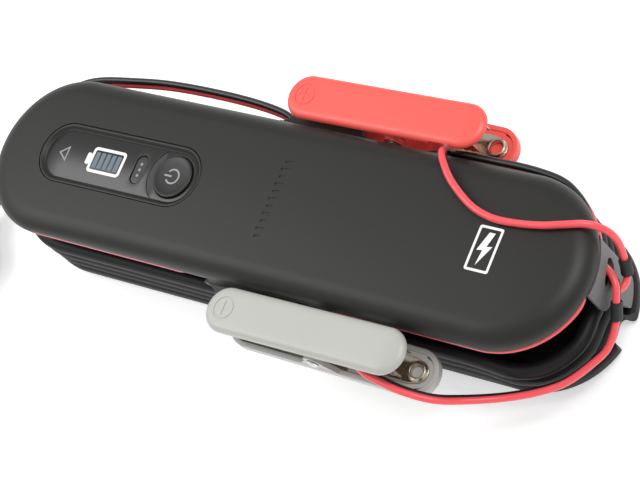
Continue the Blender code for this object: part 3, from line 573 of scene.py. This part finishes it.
def twin_route():
    """(point, direction from the red conductor to the black one) along the twin lead: clockwise from its
    gland through the groove, out in a loose loop on the far side, through the strap to the grey clamp."""
    up = Vector((0, 0, 1))
    route = [(Vector(TWIN_EXIT), Vector((0, -1, 0))), (Vector((116, 27.6, 42.1)), Vector((0, -1, 0)))]
    start, end, steps = 0.812, 0.262, 90
    for k in range(steps + 1):
        turn = start + (end - start) * k / steps
        x, y = on_turn(turn, twin_edge(turn) - 2 * CORE_RADIUS)
        spine_x = max(-SPINE, min(SPINE, x))
        inward = Vector((spine_x - x, -y, 0)).normalized()
        z = TWIN_Z - 2.0 * plateau(turn, 0.79, 0.9, 0.03)
        route.append((Vector((x, y, z)), inward - 0.25 * up))
    route.append((Vector((-148.0, 3.2, 42.4)), Vector((0.9, -0.2, 0.4))))
    loop = [(-148.6, 12.4, 40.6), (-145.6, 21.4, 38.8), (-138, 31.6, 37.2), (-125.5, 39.9, 36.2),
            (-104, 43.8, 36), (-80.5, 46, 36), (-47.5, 46, 36), (-24, 43.8, 36.2), (-12, 39.6, 36.8),
            (-3, 35.8, 37.2), (8, 34.3, 37.2), (22, 34.1, 37.4), (38, 34.2, 38.2), (51, 35.2, 41),
            (62, 37.6, 42.6), (74, 39.0, 43.2), (88, 39.0, 43.5), (104, 38.8, 43.6), (118, 37.2, 43.2),
            (126, 33.6, 42.4)]
    for n, point in enumerate(loop):
        outward = Vector((0.5, -0.1, 0.9)) if n < 2 else Vector((0, 0.25, 1))
        route.append((Vector(point), outward))
    strap = [((132.0, 28.8, 40.7), up), ((136, 22.4, 36.8), up), ((138.4, 16.2, 35.3), (-0.3, -0.1, 0.9)),
             ((140.9, 12.4, 35.0), (-0.8, -0.3, -0.3)), ((144.4, 10.2, 34.8), (-0.1, 0, -1)),
             ((148, 8.2, 34.6), (-0.4, 0.2, -0.8))]
    route += [(Vector(point), Vector(side)) for point, side in strap]
    free = [(150.8, 5.0, 33.8), (151.8, 0.6, 31.6), (152, -2.8, 28.8), (152.2, -6.2, 26),
            (151.4, -15.6, 23.2), (147.2, -23.4, 22.8), (139.6, -32.4, 22), (129.8, -38.8, 21.6),
            (117.5, -45.4, 24), (106, -51.8, 30.5), (98, -56.4, 38.2), (87, -57.6, 43.0),
            (78, -56.6, 44.2), (70, -55, 43.4), (64.5, -52.6, 42.4), (60.5, -50.8, 41.2),
            (57, -49.2, 40.3)]
    return route + [(Vector(point), Vector(BEHIND)) for point in free]


def red_route():
    """From the split by the strap, up through its sleeve and over the cover to the red clamp."""
    return [(149.8, 3.6, 31.4), (150.8, 5.6, 29.4), (151.4, 8.6, 28.8), (151.4, 11.6, 30.4),
            (151.3, 13.4, 33.2), (151.2, 15.2, 36.4), (150.2, 18.6, 44), (147.4, 19.8, 50.2),
            (141.8, 18.8, 55.4), (134, 16, 57.6),
            (125, 13.6, 57.9), (113.5, 12.2, 57.9), (103.5, 12.2, 58.5), (93.5, 15.2, 59), (82, 22.6, 59.4),
            (74.8, 29.8, 59), (71.2, 34.1, 56.9), (69, 36.3, 53.4), (67, 37.6, 49.6), (65, 39.8, 46),
            (61.5, 42.2, 43.4), (58.5, 43.4, 41.6), (56.5, 44.4, 40.2)]


def round_cord(name, route, radius, surface):
    """A round cord as one open bevelled curve; its route is in millimetres."""
    data = bpy.data.curves.new(name, "CURVE")
    data.dimensions = "3D"
    data.bevel_depth = radius * MM
    data.bevel_resolution = 6
    data.use_fill_caps = True
    spline = data.splines.new("POLY")
    spline.points.add(len(route) - 1)
    for slot, p in zip(spline.points, route):
        slot.co = (*(p * MM), 1.0)
    spline.use_smooth = True
    data.materials.append(surface)
    made = bpy.data.objects.new(name, data)
    bpy.context.scene.collection.objects.link(made)
    return made


def twin_section(lobe_steps=9):
    """The figure-8 section, as (across, thick, lobe): the red lobe is on the -across side."""
    section = []
    for lobe, turn in ((1, 0), (0, 180)):
        for k in range(lobe_steps + 1):
            a = math.radians(turn - 152 + 304 * k / lobe_steps)
            centre = CORE_SPREAD if lobe else -CORE_SPREAD
            section.append((centre + CORE_RADIUS * math.cos(a), CORE_RADIUS * math.sin(a), lobe))
    return section


def twin_cord(name, route):
    """Sweeps the figure-8 section along the route. Returns the piece and its centreline in metres."""
    marks = [p for p, _ in route]
    sides = [side.normalized() for _, side in route]
    line = smooth_route(marks, 2.2)
    hints, n = [], 0
    for p in line:
        while n < len(marks) - 2 and (p - marks[n + 1]).dot(marks[n + 1] - marks[n]) > 0:
            n += 1
        whole = marks[n + 1] - marks[n]
        t = max(0.0, min(1.0, (p - marks[n]).dot(whole) / whole.length_squared))
        hints.append(sides[n].lerp(sides[n + 1], t))
    for _ in range(12):
        mixed = [(a + b + c) / 3 for a, b, c in zip(hints, hints[1:], hints[2:])]
        hints = [hints[0]] + mixed + [hints[-1]]
    section = twin_section()
    rings, across_before = [], None
    for n, p in enumerate(line):
        ahead = (line[min(n + 1, len(line) - 1)] - line[max(n - 1, 0)]).normalized()
        across = hints[n] - ahead * hints[n].dot(ahead)
        if across.length < 0.2 and across_before is not None:
            across = across_before - ahead * across_before.dot(ahead)
        across = across.normalized()
        across_before = across
        thick = ahead.cross(across)
        rings.append([tuple(p + across * u + thick * v) for u, v, _ in section])
    data, levels = skin_rings(rings)
    count = len(section)
    for k, face in enumerate(data.faces):
        face.material_index = section[k % count][2]
    for level in (levels[0], levels[-1]):
        data.faces.new(level)
    piece = add_piece(name, data, SURFACES["lead_red"], 40)
    piece.data.materials.append(SURFACES["lead_black"])
    return piece, [p * MM for p in line]


def make_cords():
    mains = round_cord("mains_cord", smooth_route(mains_route(), 2.5), MAINS_RADIUS, SURFACES["cord_black"])
    place(mains, "cord_black", replaces=["mains_cord_coil", "mains_cord_tail"])
    plug = make_plug()
    twin, line = twin_cord("twin_lead", twin_route())
    place(twin, "lead_red", replaces=["twin_lead_coil", "twin_lead_loop", "grey_lead"])
    grey_sleeve = make_sleeve("grey_lead_sleeve", GREY_SLEEVE_ENDS, BEHIND, 3.75, 2.35)
    red = round_cord("red_lead_cord", smooth_route(red_route(), 1.5), CORE_RADIUS, SURFACES["lead_red"])
    place(red, "lead_red", replaces=["red_lead"])
    red_sleeve = make_sleeve("red_lead_sleeve", RED_SLEEVE_ENDS, (1, 0, 0), 2.5, 2.5)


def make_sleeve(node, ends, across, half_wide, half_thick):
    """A short oval rubber sleeve with rounded ends and a slight waist, between two points of a lead."""
    low, high = (Vector(end) for end in ends)
    across = Vector(across)
    ahead = (high - low).normalized()
    wide = (across - ahead * across.dot(ahead)).normalized()
    thick = ahead.cross(wide)
    middle, half = (low + high) / 2, SLEEVE_HALF_LENGTH
    profile = [(0.75, -half), (0.35, -half), (0.08, 0.3 - half), (0.0, 0.8 - half), (0.15, 0),
               (0.0, half - 0.8), (0.08, half - 0.3), (0.35, half), (0.75, half)]
    rings = []
    for inset, along in profile:
        ring = []
        for k in range(32):
            a = 2 * math.pi * k / 32
            ring.append(middle + ahead * along + wide * (half_wide - inset) * math.cos(a)
                        + thick * (half_thick - inset) * math.sin(a))
        rings.append(ring)
    sleeve = add_piece(f"{node}_piece", band(rings), SURFACES["rubber"])
    return place(sleeve, "rubber", replaces=[node])


def make_plug():
    """A two-pin mains plug body: oval sections from the cord's relief to the flat face."""
    sections = [(-22.3, 4.4, 4.3), (-23.2, 5.2, 4.9), (-26, 5.5, 5.2), (-27, 5.0, 4.7), (-28, 5.5, 5.2),
                (-29.5, 6.0, 5.6), (-32, 7.6, 6.0), (-36, 11.0, 6.4), (-40, 14.6, 6.8), (-44, 16.6, 7.0),
                (-50, 17.2, 7.0), (-55.5, 17.3, 7.0), (-57.2, 17.0, 6.8), (-58, 16.2, 6.0)]
    squareness = 0.72
    rings = []
    for y, half_x, half_z in sections:
        ring = []
        for k in range(48):
            a = 2 * math.pi * k / 48
            c, s = math.cos(a), math.sin(a)
            round_x = math.copysign(abs(c) ** squareness, c)
            round_z = math.copysign(abs(s) ** squareness, s)
            ring.append((PLUG_X + half_x * round_x, y, PLUG_Z + half_z * round_z))
        rings.append(ring)
    body = add_piece("plug", capped(rings), SURFACES["cord_black"])
    groove_half, groove_pitch, face_z = 0.6, 4.2, 7.2
    for k in range(4):
        for side in (1, -1):
            y, z = -38 - groove_pitch * k, PLUG_Z + side * face_z
            low = (PLUG_X - 7, y - groove_half, z - groove_half)
            carve(body, block(low, (PLUG_X + 7, y + groove_half, z + groove_half)))
    smooth(body)
    return place(body, "cord_black", replaces=["plug_body"])


# ---------------------------------------------------------------- housing

def top_height(x, inset):
    """Height of the cover's crowned top at a place along it and a distance in from its edge."""
    along = CROWN_DROP * ((x - CROWN_X) / (HALF_LENGTH + CROWN_X)) ** 2
    across = CROSS_DROP * (1 - inset / HALF_WIDTH) ** 2
    return HEIGHT - along - across


def dome_profile(start_z, skin, degrees_step=5, inset_step=1.4):
    """The rounded edge and the crowned top as (inset, height) pairs."""
    profile = []
    for k in range(90 // degrees_step + 1):
        a = math.radians(k * degrees_step)
        inset = EDGE_RUN * (1 - math.cos(a))

        def height(x, at, rise=math.sin(a)):
            crest = top_height(x, max(at - skin, 0)) - skin
            return start_z + (crest - start_z) * rise

        profile.append((inset + skin, height))
    inset = EDGE_RUN + inset_step
    while inset < HALF_WIDTH - skin - 0.4:
        profile.append((inset + skin, lambda x, at: top_height(x, at - skin) - skin))
        inset += inset_step
    return profile


def ear_outline(side):
    """Plan of a side ear: a tongue with rounded corners that flares where it meets the cover."""
    root_y = HALF_WIDTH - 2
    flare, corner = 10, 3.5
    angles = [math.radians(a) for a in range(0, 91, 6)]
    points = [(-19, 0), (-19, 1.5)]
    points += [(-19 + flare * math.sin(a), 3 + flare * (1 - math.cos(a))) for a in angles]
    points += arc(corner, 180, 90, 8, (-5.5, 15))
    points += arc(corner, 90, 0, 8, (18, 15))
    points += [(31.5 - flare * math.cos(a), 13 - flare * math.sin(a)) for a in angles]
    points.append((31.5, 0))
    outline = [(x, side * (root_y + y)) for x, y in points]
    return outline if side > 0 else outline[::-1]


def make_top_shell():
    """The soft-touch cover: a low dome with a rounded edge, side ears, and the sunk display's opening."""
    cavity = dome_profile(LEDGE_TOP, WALL, 15, 6.0)[::-1]
    rim = [(14.4, LEDGE_TOP), (14.4, RIM_Z), (0.9, RIM_Z), (0.35, RIM_Z + 0.2), (0.08, RIM_Z + 0.55),
           (0.0, RIM_Z + 1.0)]
    rings = pill_rings(SPINE, HALF_WIDTH, cavity + rim + dome_profile(RIM_Z + 1.6, 0.0))
    shell = add_piece("cover", loft(rings), SURFACES["housing_charcoal"])
    for side in (1, -1):
        join(shell, prism(ear_outline(side), EAR_BOTTOM, EAR_TOP, 0.7))
        join(shell, ear_root(side))
    opening = pill_rings(DISPLAY_SPINE, DISPLAY_HALF_WIDTH, [(0, 48), (0, 70)], centre=DISPLAY_X,
                         side_steps=40)
    carve(shell, loft(opening))
    x, pitch = 5.0, 3.3
    for n in range(11):
        y = pitch * (n - 5)
        tall = 2.1 if n % 2 else 1.5
        mark = prism([(x - tall, y - 0.5), (x + tall, y - 0.1), (x + tall, y + 0.9), (x - tall, y + 0.5)],
                     top_height(x, HALF_WIDTH - abs(y)) - 0.3, 60)
        carve(shell, mark)
    smooth(shell, 28)
    place(shell, "housing_charcoal", replaces=["top_shell"])


def ear_root(side):
    """The concave web between the cover's wall and an ear's top face."""
    inner, outer, foot_z = 34.2, 37.6, 45.45
    profile = [(inner, 43.0), (outer, 43.0), (outer, foot_z)]
    profile += [(outer - 1.9 * t, foot_z + 4.6 * t * t) for t in (0.25, 0.5, 0.75, 1.0)]
    profile += [(inner, 50.0)]
    return capped([[(x, side * y, z) for y, z in profile] for x in (-16, 29)])


def make_base_shell():
    """The base: a flange under the wound cords, with a notch at the strap end, and the core."""
    rim = FLANGE_TOP
    flange = [(7.3, 2.6), (7.3, FLANGE_BOTTOM), (2.4, FLANGE_BOTTOM), (1.3, 1.8), (0.6, 2.6), (0.15, 3.5),
              (0.0, 4.4), (0.0, 6.4), (0.15, 7.1), (0.7, 7.7), (1.8, rim), (11.2, rim), (11.8, rim + 0.3),
              (12.0, rim + 1.0), (12.0, CORE_TOP), (14.4, CORE_TOP), (14.4, 5.0)]
    shell = add_piece("base", loft(pill_rings(SPINE, HALF_WIDTH, flange)), SURFACES["base_black"])
    half, corner, middle = 5.5, 3.4, -3.2
    edge_high, edge_low, back = 148.3, 146.8, 142.8
    outline = [(158, middle + half + corner + 0.5)]
    outline += arc(corner, 0, -90, 8, (edge_high - corner, middle + half + corner))
    outline += [(back + 0.4 * (x - back), y) for x, y in arc(half, 90, 270, 16, (back, middle))]
    outline += arc(corner, 90, 0, 8, (edge_low - corner, middle - half - corner))
    outline += [(158, middle - half - corner - 0.5)]
    carve(shell, prism(outline, -1, 10))
    smooth(shell)
    place(shell, "base_black", replaces=["base_shell"])


def make_pad():
    """The foot pad, with fine grooves across its underside."""
    profile = [(8.4, 0.0), (7.9, 0.25), (7.7, 0.7), (7.7, 2.3)]
    pad = add_piece("foot_pad", loft(pill_rings(SPINE, HALF_WIDTH, profile)), SURFACES["pad_rubber"])
    pitch, half_groove = 6, 0.6
    for k in range(-20, 21):
        x = pitch * k
        groove = block((x - half_groove, -40, -1), (x + half_groove, 40, 0.35))
        carve(pad, groove)
    place(pad, "pad_rubber", replaces=["base_pad"])


def make_strap():
    """The rubber strap over the groove: a high rounded lug at its start, and a slot for the leads."""
    profile = [(36.1, 45.9), (35.9, 44), (35.7, 40), (35.6, 36), (35.6, 28), (35.5, 20), (35.4, 14),
               (35.3, STRAP_BOTTOM)]
    steps, sweep, corner = 32, math.radians(STRAP_SWEEP), STRAP_CORNER
    last = len(profile) - 1
    data = bmesh.new()
    outer, inner = [], []
    for k in range(steps + 1):
        part = k / steps
        a = math.radians(STRAP_START + STRAP_SWEEP * part)
        edge = min(min(part, 1 - part) * sweep * HALF_WIDTH, corner)
        round_off = corner * (1 - math.sqrt(max(0.0, 1 - (1 - edge / corner) ** 2)))
        lift = round_off + LUG_RISE * plateau(part, 0.0, 0.22, 0.20)
        line_out, line_in = [], []
        for n, (r, z) in enumerate(profile):
            z_here = z + lift if n == last else max(z, STRAP_BOTTOM + lift + 0.2 * (last + 1 - n))
            thin = 0.35 if k in (0, steps) or n == last else 0.0
            for line, radius in ((line_out, r - thin), (line_in, r - STRAP_THICKNESS)):
                line.append(data.verts.new((SPINE + radius * math.cos(a), radius * math.sin(a), z_here)))
        outer.append(line_out)
        inner.append(line_in)
    for k in range(steps):
        for j in range(last):
            data.faces.new((outer[k][j], outer[k][j + 1], outer[k + 1][j + 1], outer[k + 1][j]))
            data.faces.new((inner[k][j], inner[k + 1][j], inner[k + 1][j + 1], inner[k][j + 1]))
        for j in (0, last):
            data.faces.new((outer[k][j], outer[k + 1][j], inner[k + 1][j], inner[k][j]))
    for k in (0, steps):
        for j in range(last):
            data.faces.new((outer[k][j], inner[k][j], inner[k][j + 1], outer[k][j + 1]))
    strap = add_piece("strap", data, SURFACES["strap_rubber"])
    slot_y, slot_z, half_straight = 8.7, 34.9, 2.4
    section = [(slot_y + (half_straight if y > 0 else -half_straight) + y, slot_z + z)
               for y, z in arc(3.5, 0, 360, 32)[:-1]]
    carve(strap, capped([[(x, *point) for point in section] for x in (139, 156)]))
    smooth(strap, 35)
    place(strap, "strap_rubber", replaces=["end_strap"])


# ---------------------------------------------------------------- display

def deck(sink):
    """The display's level at a depth below the cover's middle line."""
    return lambda x, inset: top_height(x, HALF_WIDTH) - sink


def drape(name, outline, surface, height, thickness=0.08):
    """A thin printed shape that lies on a sloping face; height(x, y) is the face."""
    data = prism(outline, 0, 1)
    for v in data.verts:
        v.co.z = height(v.co.x, v.co.y) + (thickness if v.co.z > 0.5 else -PRINT_ROOT)
    return add_piece(name, data, surface)


def rounded(x0, x1, y0, y1, radius, steps=6, between=0):
    """A rectangle's outline with round corners, counter-clockwise, with points between the corners."""
    corners = []
    for cx, cy, start in ((x1 - radius, y1 - radius, 0), (x0 + radius, y1 - radius, 90),
                          (x0 + radius, y0 + radius, 180), (x1 - radius, y0 + radius, 270)):
        corners.append(arc(radius, start, start + 90, steps, (cx, cy)))
    points = []
    for corner, following in zip(corners, corners[1:] + corners[:1]):
        points += corner
        (ax, ay), (bx, by) = corner[-1], following[0]
        for k in range(1, between + 1):
            t = k / (between + 1)
            points.append((ax + (bx - ax) * t, ay + (by - ay) * t))
    return points


def printed_ring(name, outer, inner, surface, height, thickness=0.08):
    """A thin printed outline between two outlines of equally many points, lying on a sloping face."""
    rings = []
    for outline, rise in ((outer, -PRINT_ROOT), (outer, thickness), (inner, thickness), (inner, -PRINT_ROOT)):
        rings.append([(x, y, height(x, y) + rise) for x, y in outline])
    return add_piece(name, band(rings), surface)


def make_display():
    """The sunk display: a rounded bezel, and a face with holes for the button and the badge."""
    half = DISPLAY_HALF_WIDTH - 0.3
    steps = {"centre": DISPLAY_X, "side_steps": 40}
    wall = [(0, deck(4.4)), (0, deck(0.5)), (0.12, deck(0.22)), (0.4, deck(0.1)), (0.8, deck(0.12)),
            (1.15, deck(0.35)), (1.6, deck(0.85)), (1.95, deck(1.25)), (2.25, deck(1.5)), (2.55, deck(1.62)),
            (2.55, deck(4.4))]
    bezel = add_piece("bezel", band(pill_rings(DISPLAY_SPINE, half, wall, **steps)),
                      SURFACES["display_black"], 40)
    place(bezel, "display_black", replaces=["display_bezel"])
    face = [(2.62, deck(3.2)), (2.62, deck(1.68)), (2.8, deck(DISPLAY_SINK))]
    window = add_piece("window", loft(pill_rings(DISPLAY_SPINE, half, face, **steps)),
                       SURFACES["display_window"])
    carve(window, rod(BUTTON_RADIUS + 0.4, 45, 60, 96, at=(BUTTON_X, 0, 0)))
    carve(window, prism(badge_outline(0.0), 50, 58))
    step = prism(arc(13.4, 100, 260, 40, (BUTTON_X, 0)) + arc(13.0, 260, 100, 40, (BUTTON_X, 0)), 51, 60)
    shave = top_height(BUTTON_X, HALF_WIDTH) - DISPLAY_SINK - 0.45
    for v in step.verts:
        v.co.z = shave if v.co.z < 55 else 60
    carve(window, step)
    smooth(window, 30)
    place(window, "display_window", replaces=["display_window"])
    make_badge()
    make_button()
    make_prints()


def badge_outline(inset):
    return [(BADGE_X - y, x) for x, y in stadium(BADGE_SPINE, BADGE_RADIUS - inset, 12, 8)]


def make_badge():
    """The small pill beside the button, with three dots."""
    top = top_height(BADGE_X, HALF_WIDTH) - DISPLAY_SINK - 0.3
    rings = []
    for inset, z in ((0.3, top - 1.5), (0.3, top - 0.2), (0.42, top - 0.05), (0.6, top)):
        rings.append([(x, y, z) for x, y in badge_outline(inset)])
    badge = add_piece("badge", loft(rings), SURFACES["badge_grey"])
    place(badge, "badge_grey", replaces=["mode_badge"])
    for k in (-1, 0, 1):
        dot = add_piece(f"badge_dot_{k + 2}", rod(0.62, top - 0.2, top + 0.06, 24, at=(BADGE_X, 2.6 * k, 0)),
                        SURFACES["print_grey"])
        place(dot, "badge_grey")


def make_button():
    """The round button with a raised rim, a dished face and a power sign."""
    floor = top_height(BUTTON_X, HALF_WIDTH) - DISPLAY_SINK
    top = floor + 1.3
    face = top - 0.5
    profile = [(0, 51.4), (8.6, 51.4), (9.3, 51.6), (BUTTON_RADIUS, 52.0), (BUTTON_RADIUS, floor + 0.7),
               (9.3, floor + 1.05), (9.05, floor + 1.25), (8.7, top), (8.3, top - 0.04), (7.6, top - 0.22),
               (6, top - 0.36), (4, top - 0.46), (2, face), (0, face)]
    button = add_piece("button", turned(profile, 96, at=(BUTTON_X, 0, 0)), SURFACES["button_rubber"])
    place(button, "button_rubber", "power_button", replaces=["power_button"])
    ring = arc(3.5, 145, -145, 40) + arc(2.75, -145, 145, 40)
    sign = [(BUTTON_X + x, y) for x, y in ring]
    symbol = drape("power_ring", sign[::-1], SURFACES["print_grey"], lambda x, y: face + 0.02, 0.12)
    place(symbol, "display_window", "power_button")
    stroke = rounded(BUTTON_X - 4.3, BUTTON_X - 0.4, -0.38, 0.38, 0.3)
    bar = drape("power_bar", stroke, SURFACES["print_grey"], lambda x, y: face + 0.02, 0.12)
    place(bar, "display_window", "power_button")


def make_prints():
    """The battery sign with its bars, the triangle, and the framed bolt on the cover."""
    def face(x, y):
        return top_height(x, HALF_WIDTH) - DISPLAY_SINK

    def dome(x, y):
        return top_height(x, HALF_WIDTH - abs(y))

    shell = printed_ring("battery_outline", rounded(-94.6, -76.2, -5.8, 5.8, 1.8),
                         rounded(-93.3, -77.5, -4.5, 4.5, 0.8), SURFACES["print_white"], face)
    place(shell, "display_window")
    tip = drape("battery_tip", rounded(-97.0, -94.7, -2.6, 2.6, 0.8), SURFACES["print_white"], face)
    place(tip, "display_window")
    for k in range(5):
        x = -92.2 + 3.0 * k
        bar = drape(f"battery_bar_{k + 1}", rounded(x - 0.3, x + 1.9, -3.6, 3.6, 0.4),
                    SURFACES["print_blue"], face)
        place(bar, "display_window")
    sign = printed_ring("triangle_outline", [(-112.9, 0), (-107.9, -3.6), (-107.9, 3.6)],
                        [(-111.8, 0), (-108.5, -2.4), (-108.5, 2.4)], SURFACES["print_grey"], face)
    place(sign, "display_window")
    border = printed_ring("emblem_frame", rounded(100, 110.6, -9.3, 9.3, 0.9, between=12),
                          rounded(101, 109.6, -8.3, 8.3, 0.4, between=12), SURFACES["print_white"], dome, 0.1)
    place(border, "housing_charcoal")
    bolt = [(105.0, 6.9), (102.3, -0.9), (104.8, -0.5), (104.1, -6.9), (108.4, 1.5), (105.9, 1.0),
            (107.6, 6.9)]
    place(drape("emblem_bolt", bolt, SURFACES["print_white"], dome, 0.1), "housing_charcoal")


# ---------------------------------------------------------------- clamps

def clamp_rings(up):
    """Rings of one moulded half, in the clamp's frame: +X to the jaw, pivot axis at the origin along Y."""
    shift, rim = SHIFT[up], RIM[up]
    spine = CLAMP_HALF_LENGTH - CLAMP_HALF_WIDTH
    tip = shift + CLAMP_HALF_LENGTH
    edge = CLAMP_EDGE
    profile = [(CLAMP_SKIN, CLAMP_OUTER - CLAMP_SKIN), (CLAMP_SKIN, rim + 0.25), (CLAMP_SKIN - 0.25, rim),
               (0.3, rim), (0.08, rim + 0.1), (0, rim + 0.35)]
    for k in range(8):
        a = math.radians(90 * k / 7)
        profile.append((edge * (1 - math.cos(a)), CLAMP_OUTER - edge + edge * math.sin(a)))
    profile += [(4.0, CLAMP_OUTER), (6.0, CLAMP_OUTER), (8.0, CLAMP_OUTER)]

    def level(z):
        def height(x, at):
            slope = max(0.0, min(1.0, (x - (tip - TIP_RUN)) / TIP_RUN))
            drop = TIP_DROP * slope * slope if z > rim + 0.4 else 0.0
            return up * (z - drop * (z - rim) / (CLAMP_OUTER - rim))
        return height

    shaped = [(inset, level(z)) for inset, z in profile]
    return pill_rings(spine, CLAMP_HALF_WIDTH, shaped, centre=shift, quarter_steps=18, side_steps=30)


def make_clamp_half(prefix, up, surface):
    """One moulded half: a hollow handle, a solid jaw, and two cheeks round the pin."""
    name = f"{prefix}_{'upper' if up > 0 else 'lower'}_handle"
    shift, rim = SHIFT[up], RIM[up]
    tip = shift + CLAMP_HALF_LENGTH
    inward = -CLAMP_SIDE[prefix]
    half = add_piece(name, loft(clamp_rings(up)), surface)
    flat = sorted((up * (rim + 0.5), up * (CLAMP_OUTER - 1.6)))
    join(half, block((12, -7.8, flat[0]), (tip - 7.5, 7.8, flat[1])))
    join(half, rod(6.4, *flat, at=(tip - HOLE_FROM_END, 0, 0)))
    near, far = (5.0, 6.9) if up > 0 else (7.3, 9.4)
    for side in (1, -1):
        join(half, rod(CHEEK_RADIUS, near, far, 40, axis=(0, side, 0)))
        sides = sorted((side * near, side * far))
        join(half, cheek_web(up, sides, side == inward))
    carve(half, rod(BORE_RADIUS, -15, 15, 32, axis=(0, 1, 0)))
    if up < 0:
        low_y, high_y = sorted((inward * 11, inward * 4.4))
        carve(half, block((-60, low_y, CLAMP_SKIN - CLAMP_OUTER), (-13, high_y, -3)))
    if up > 0:
        engrave_sign(half, prefix, shift)
        if prefix == "red":
            low_y, high_y = sorted((inward * 11, inward * 8.0))
            carve(half, block((22.5, low_y, 2), (33, high_y, CLAMP_OUTER - 1.4)))
    smooth(half, 30)
    return half


def cheek_web(up, sides, inner):
    """The web that joins a cheek to the plate: a broad foot that narrows to the cheek's disc."""
    foot = 6.5 if inner or up > 0 else 13.0
    neck, foot_z = 4.39, CLAMP_OUTER - 2.0
    outline = [(-neck, 0.2), (neck, 0.2), (foot, foot_z), (-foot, foot_z)]
    return capped([[(x, y, up * z) for x, z in outline] for y in sides])


def engrave_sign(half, prefix, shift):
    """A shallow ring with a plus or a minus inside, near the handle's end."""
    x = shift - CLAMP_HALF_LENGTH + CLAMP_HALF_WIDTH
    low = CLAMP_OUTER - SIGN_DEPTH
    carve(half, collar(4.2, 5.0, low, 14, 64, at=(x, 0, 0)))
    strokes = [rounded(x - 0.5, x + 0.5, -3.0, 3.0, 0.35)]
    if prefix == "red":
        strokes.append(rounded(x - 3.0, x + 3.0, -0.5, 0.5, 0.35))
    for stroke in strokes:
        carve(half, prism(stroke, low, 14))


def make_contact(prefix, up, surface):
    """A nickel-plated contact: the lower one has a raised hole, the upper one toothed sides."""
    rim = RIM[up]
    tip = SHIFT[up] + CLAMP_HALF_LENGTH
    name = f"{prefix}_{'upper' if up > 0 else 'lower'}_plate"
    if up < 0:
        hole_x = tip - HOLE_FROM_END
        half, top = PLATE_HALF_WIDTH, -rim + 0.6
        outline = [(14, -half), (hole_x - 3, -half)] + arc(PLATE_END_RADIUS, -70, 70, 24, (hole_x, 0))
        outline += [(hole_x - 3, half), (14, half)]
        plate = add_piece(name, prism(outline, -rim - 0.2, top, 0.2), surface)
        lip = [(2.2, top - 0.6), (4.3, top - 0.6), (4.25, top + 0.15), (3.9, top + 0.5), (3.55, top + 1.0),
               (3.25, top + 1.1), (2.95, top + 1.0), (2.75, top + 0.7), (HOLE_RADIUS, top)]
        join(plate, turned(lip, 48, at=(hole_x, 0, 0)))
        carve(plate, rod(HOLE_RADIUS, -9, 0, 48, at=(hole_x, 0, 0)))
        for side in (1, -1):
            crease = prism([(21, side * 1.2), (27, side * 4.3), (21, side * 4.3)][::side], -rim + 0.35, 0)
            carve(plate, crease)
    else:
        outline = rounded(14, tip - 5.2, -5.4, 5.4, 2.0)
        plate = add_piece(name, prism(outline, rim - 0.6, rim + 0.2, 0.15), surface)
        for side in (1, -1):
            low_y, high_y = sorted((side * 4.6, side * 5.3))
            join(plate, block((28, low_y, -2.6), (39, high_y, rim - 0.5)))
        for k in range(3):
            notch = rod(1.3, -8, 8, 4, axis=(0, 1, 0), at=(30.6 + 3.4 * k, 0, -2.9))
            carve(plate, notch)
    smooth(plate, 30)
    return plate


def make_clamps():
    """Both clamps; a half is made level about its pin, then tilted and moved to its place."""
    for prefix, side in CLAMP_SIDE.items():
        pivot = mm(PIVOT_X[prefix], side * CLAMP_Y, PIVOT_Z)
        for up in (1, -1):
            level = "upper" if up > 0 else "lower"
            body = f"{prefix}_clamp_jaw" if up > 0 else "root"
            stand = Matrix.Translation(pivot) @ Matrix.Rotation(-up * CLAMP_TILT, 4, "Y")
            half = make_clamp_half(prefix, up, SURFACES[f"clamp_{prefix}"])
            plate = make_contact(prefix, up, SURFACES["nickel"])
            half.data.transform(stand)
            plate.data.transform(stand)
            place(half, f"clamp_{prefix}", body, [f"{prefix}_clamp_{level}_half"])
            place(plate, "nickel", body, [f"{prefix}_clamp_{level}_contact"])


# ---------------------------------------------------------------- the whole charger

make_camera()
make_cords()
make_top_shell()
make_base_shell()
make_pad()
make_strap()
make_display()
make_clamps()
make_stage()
dress_cad_nodes()
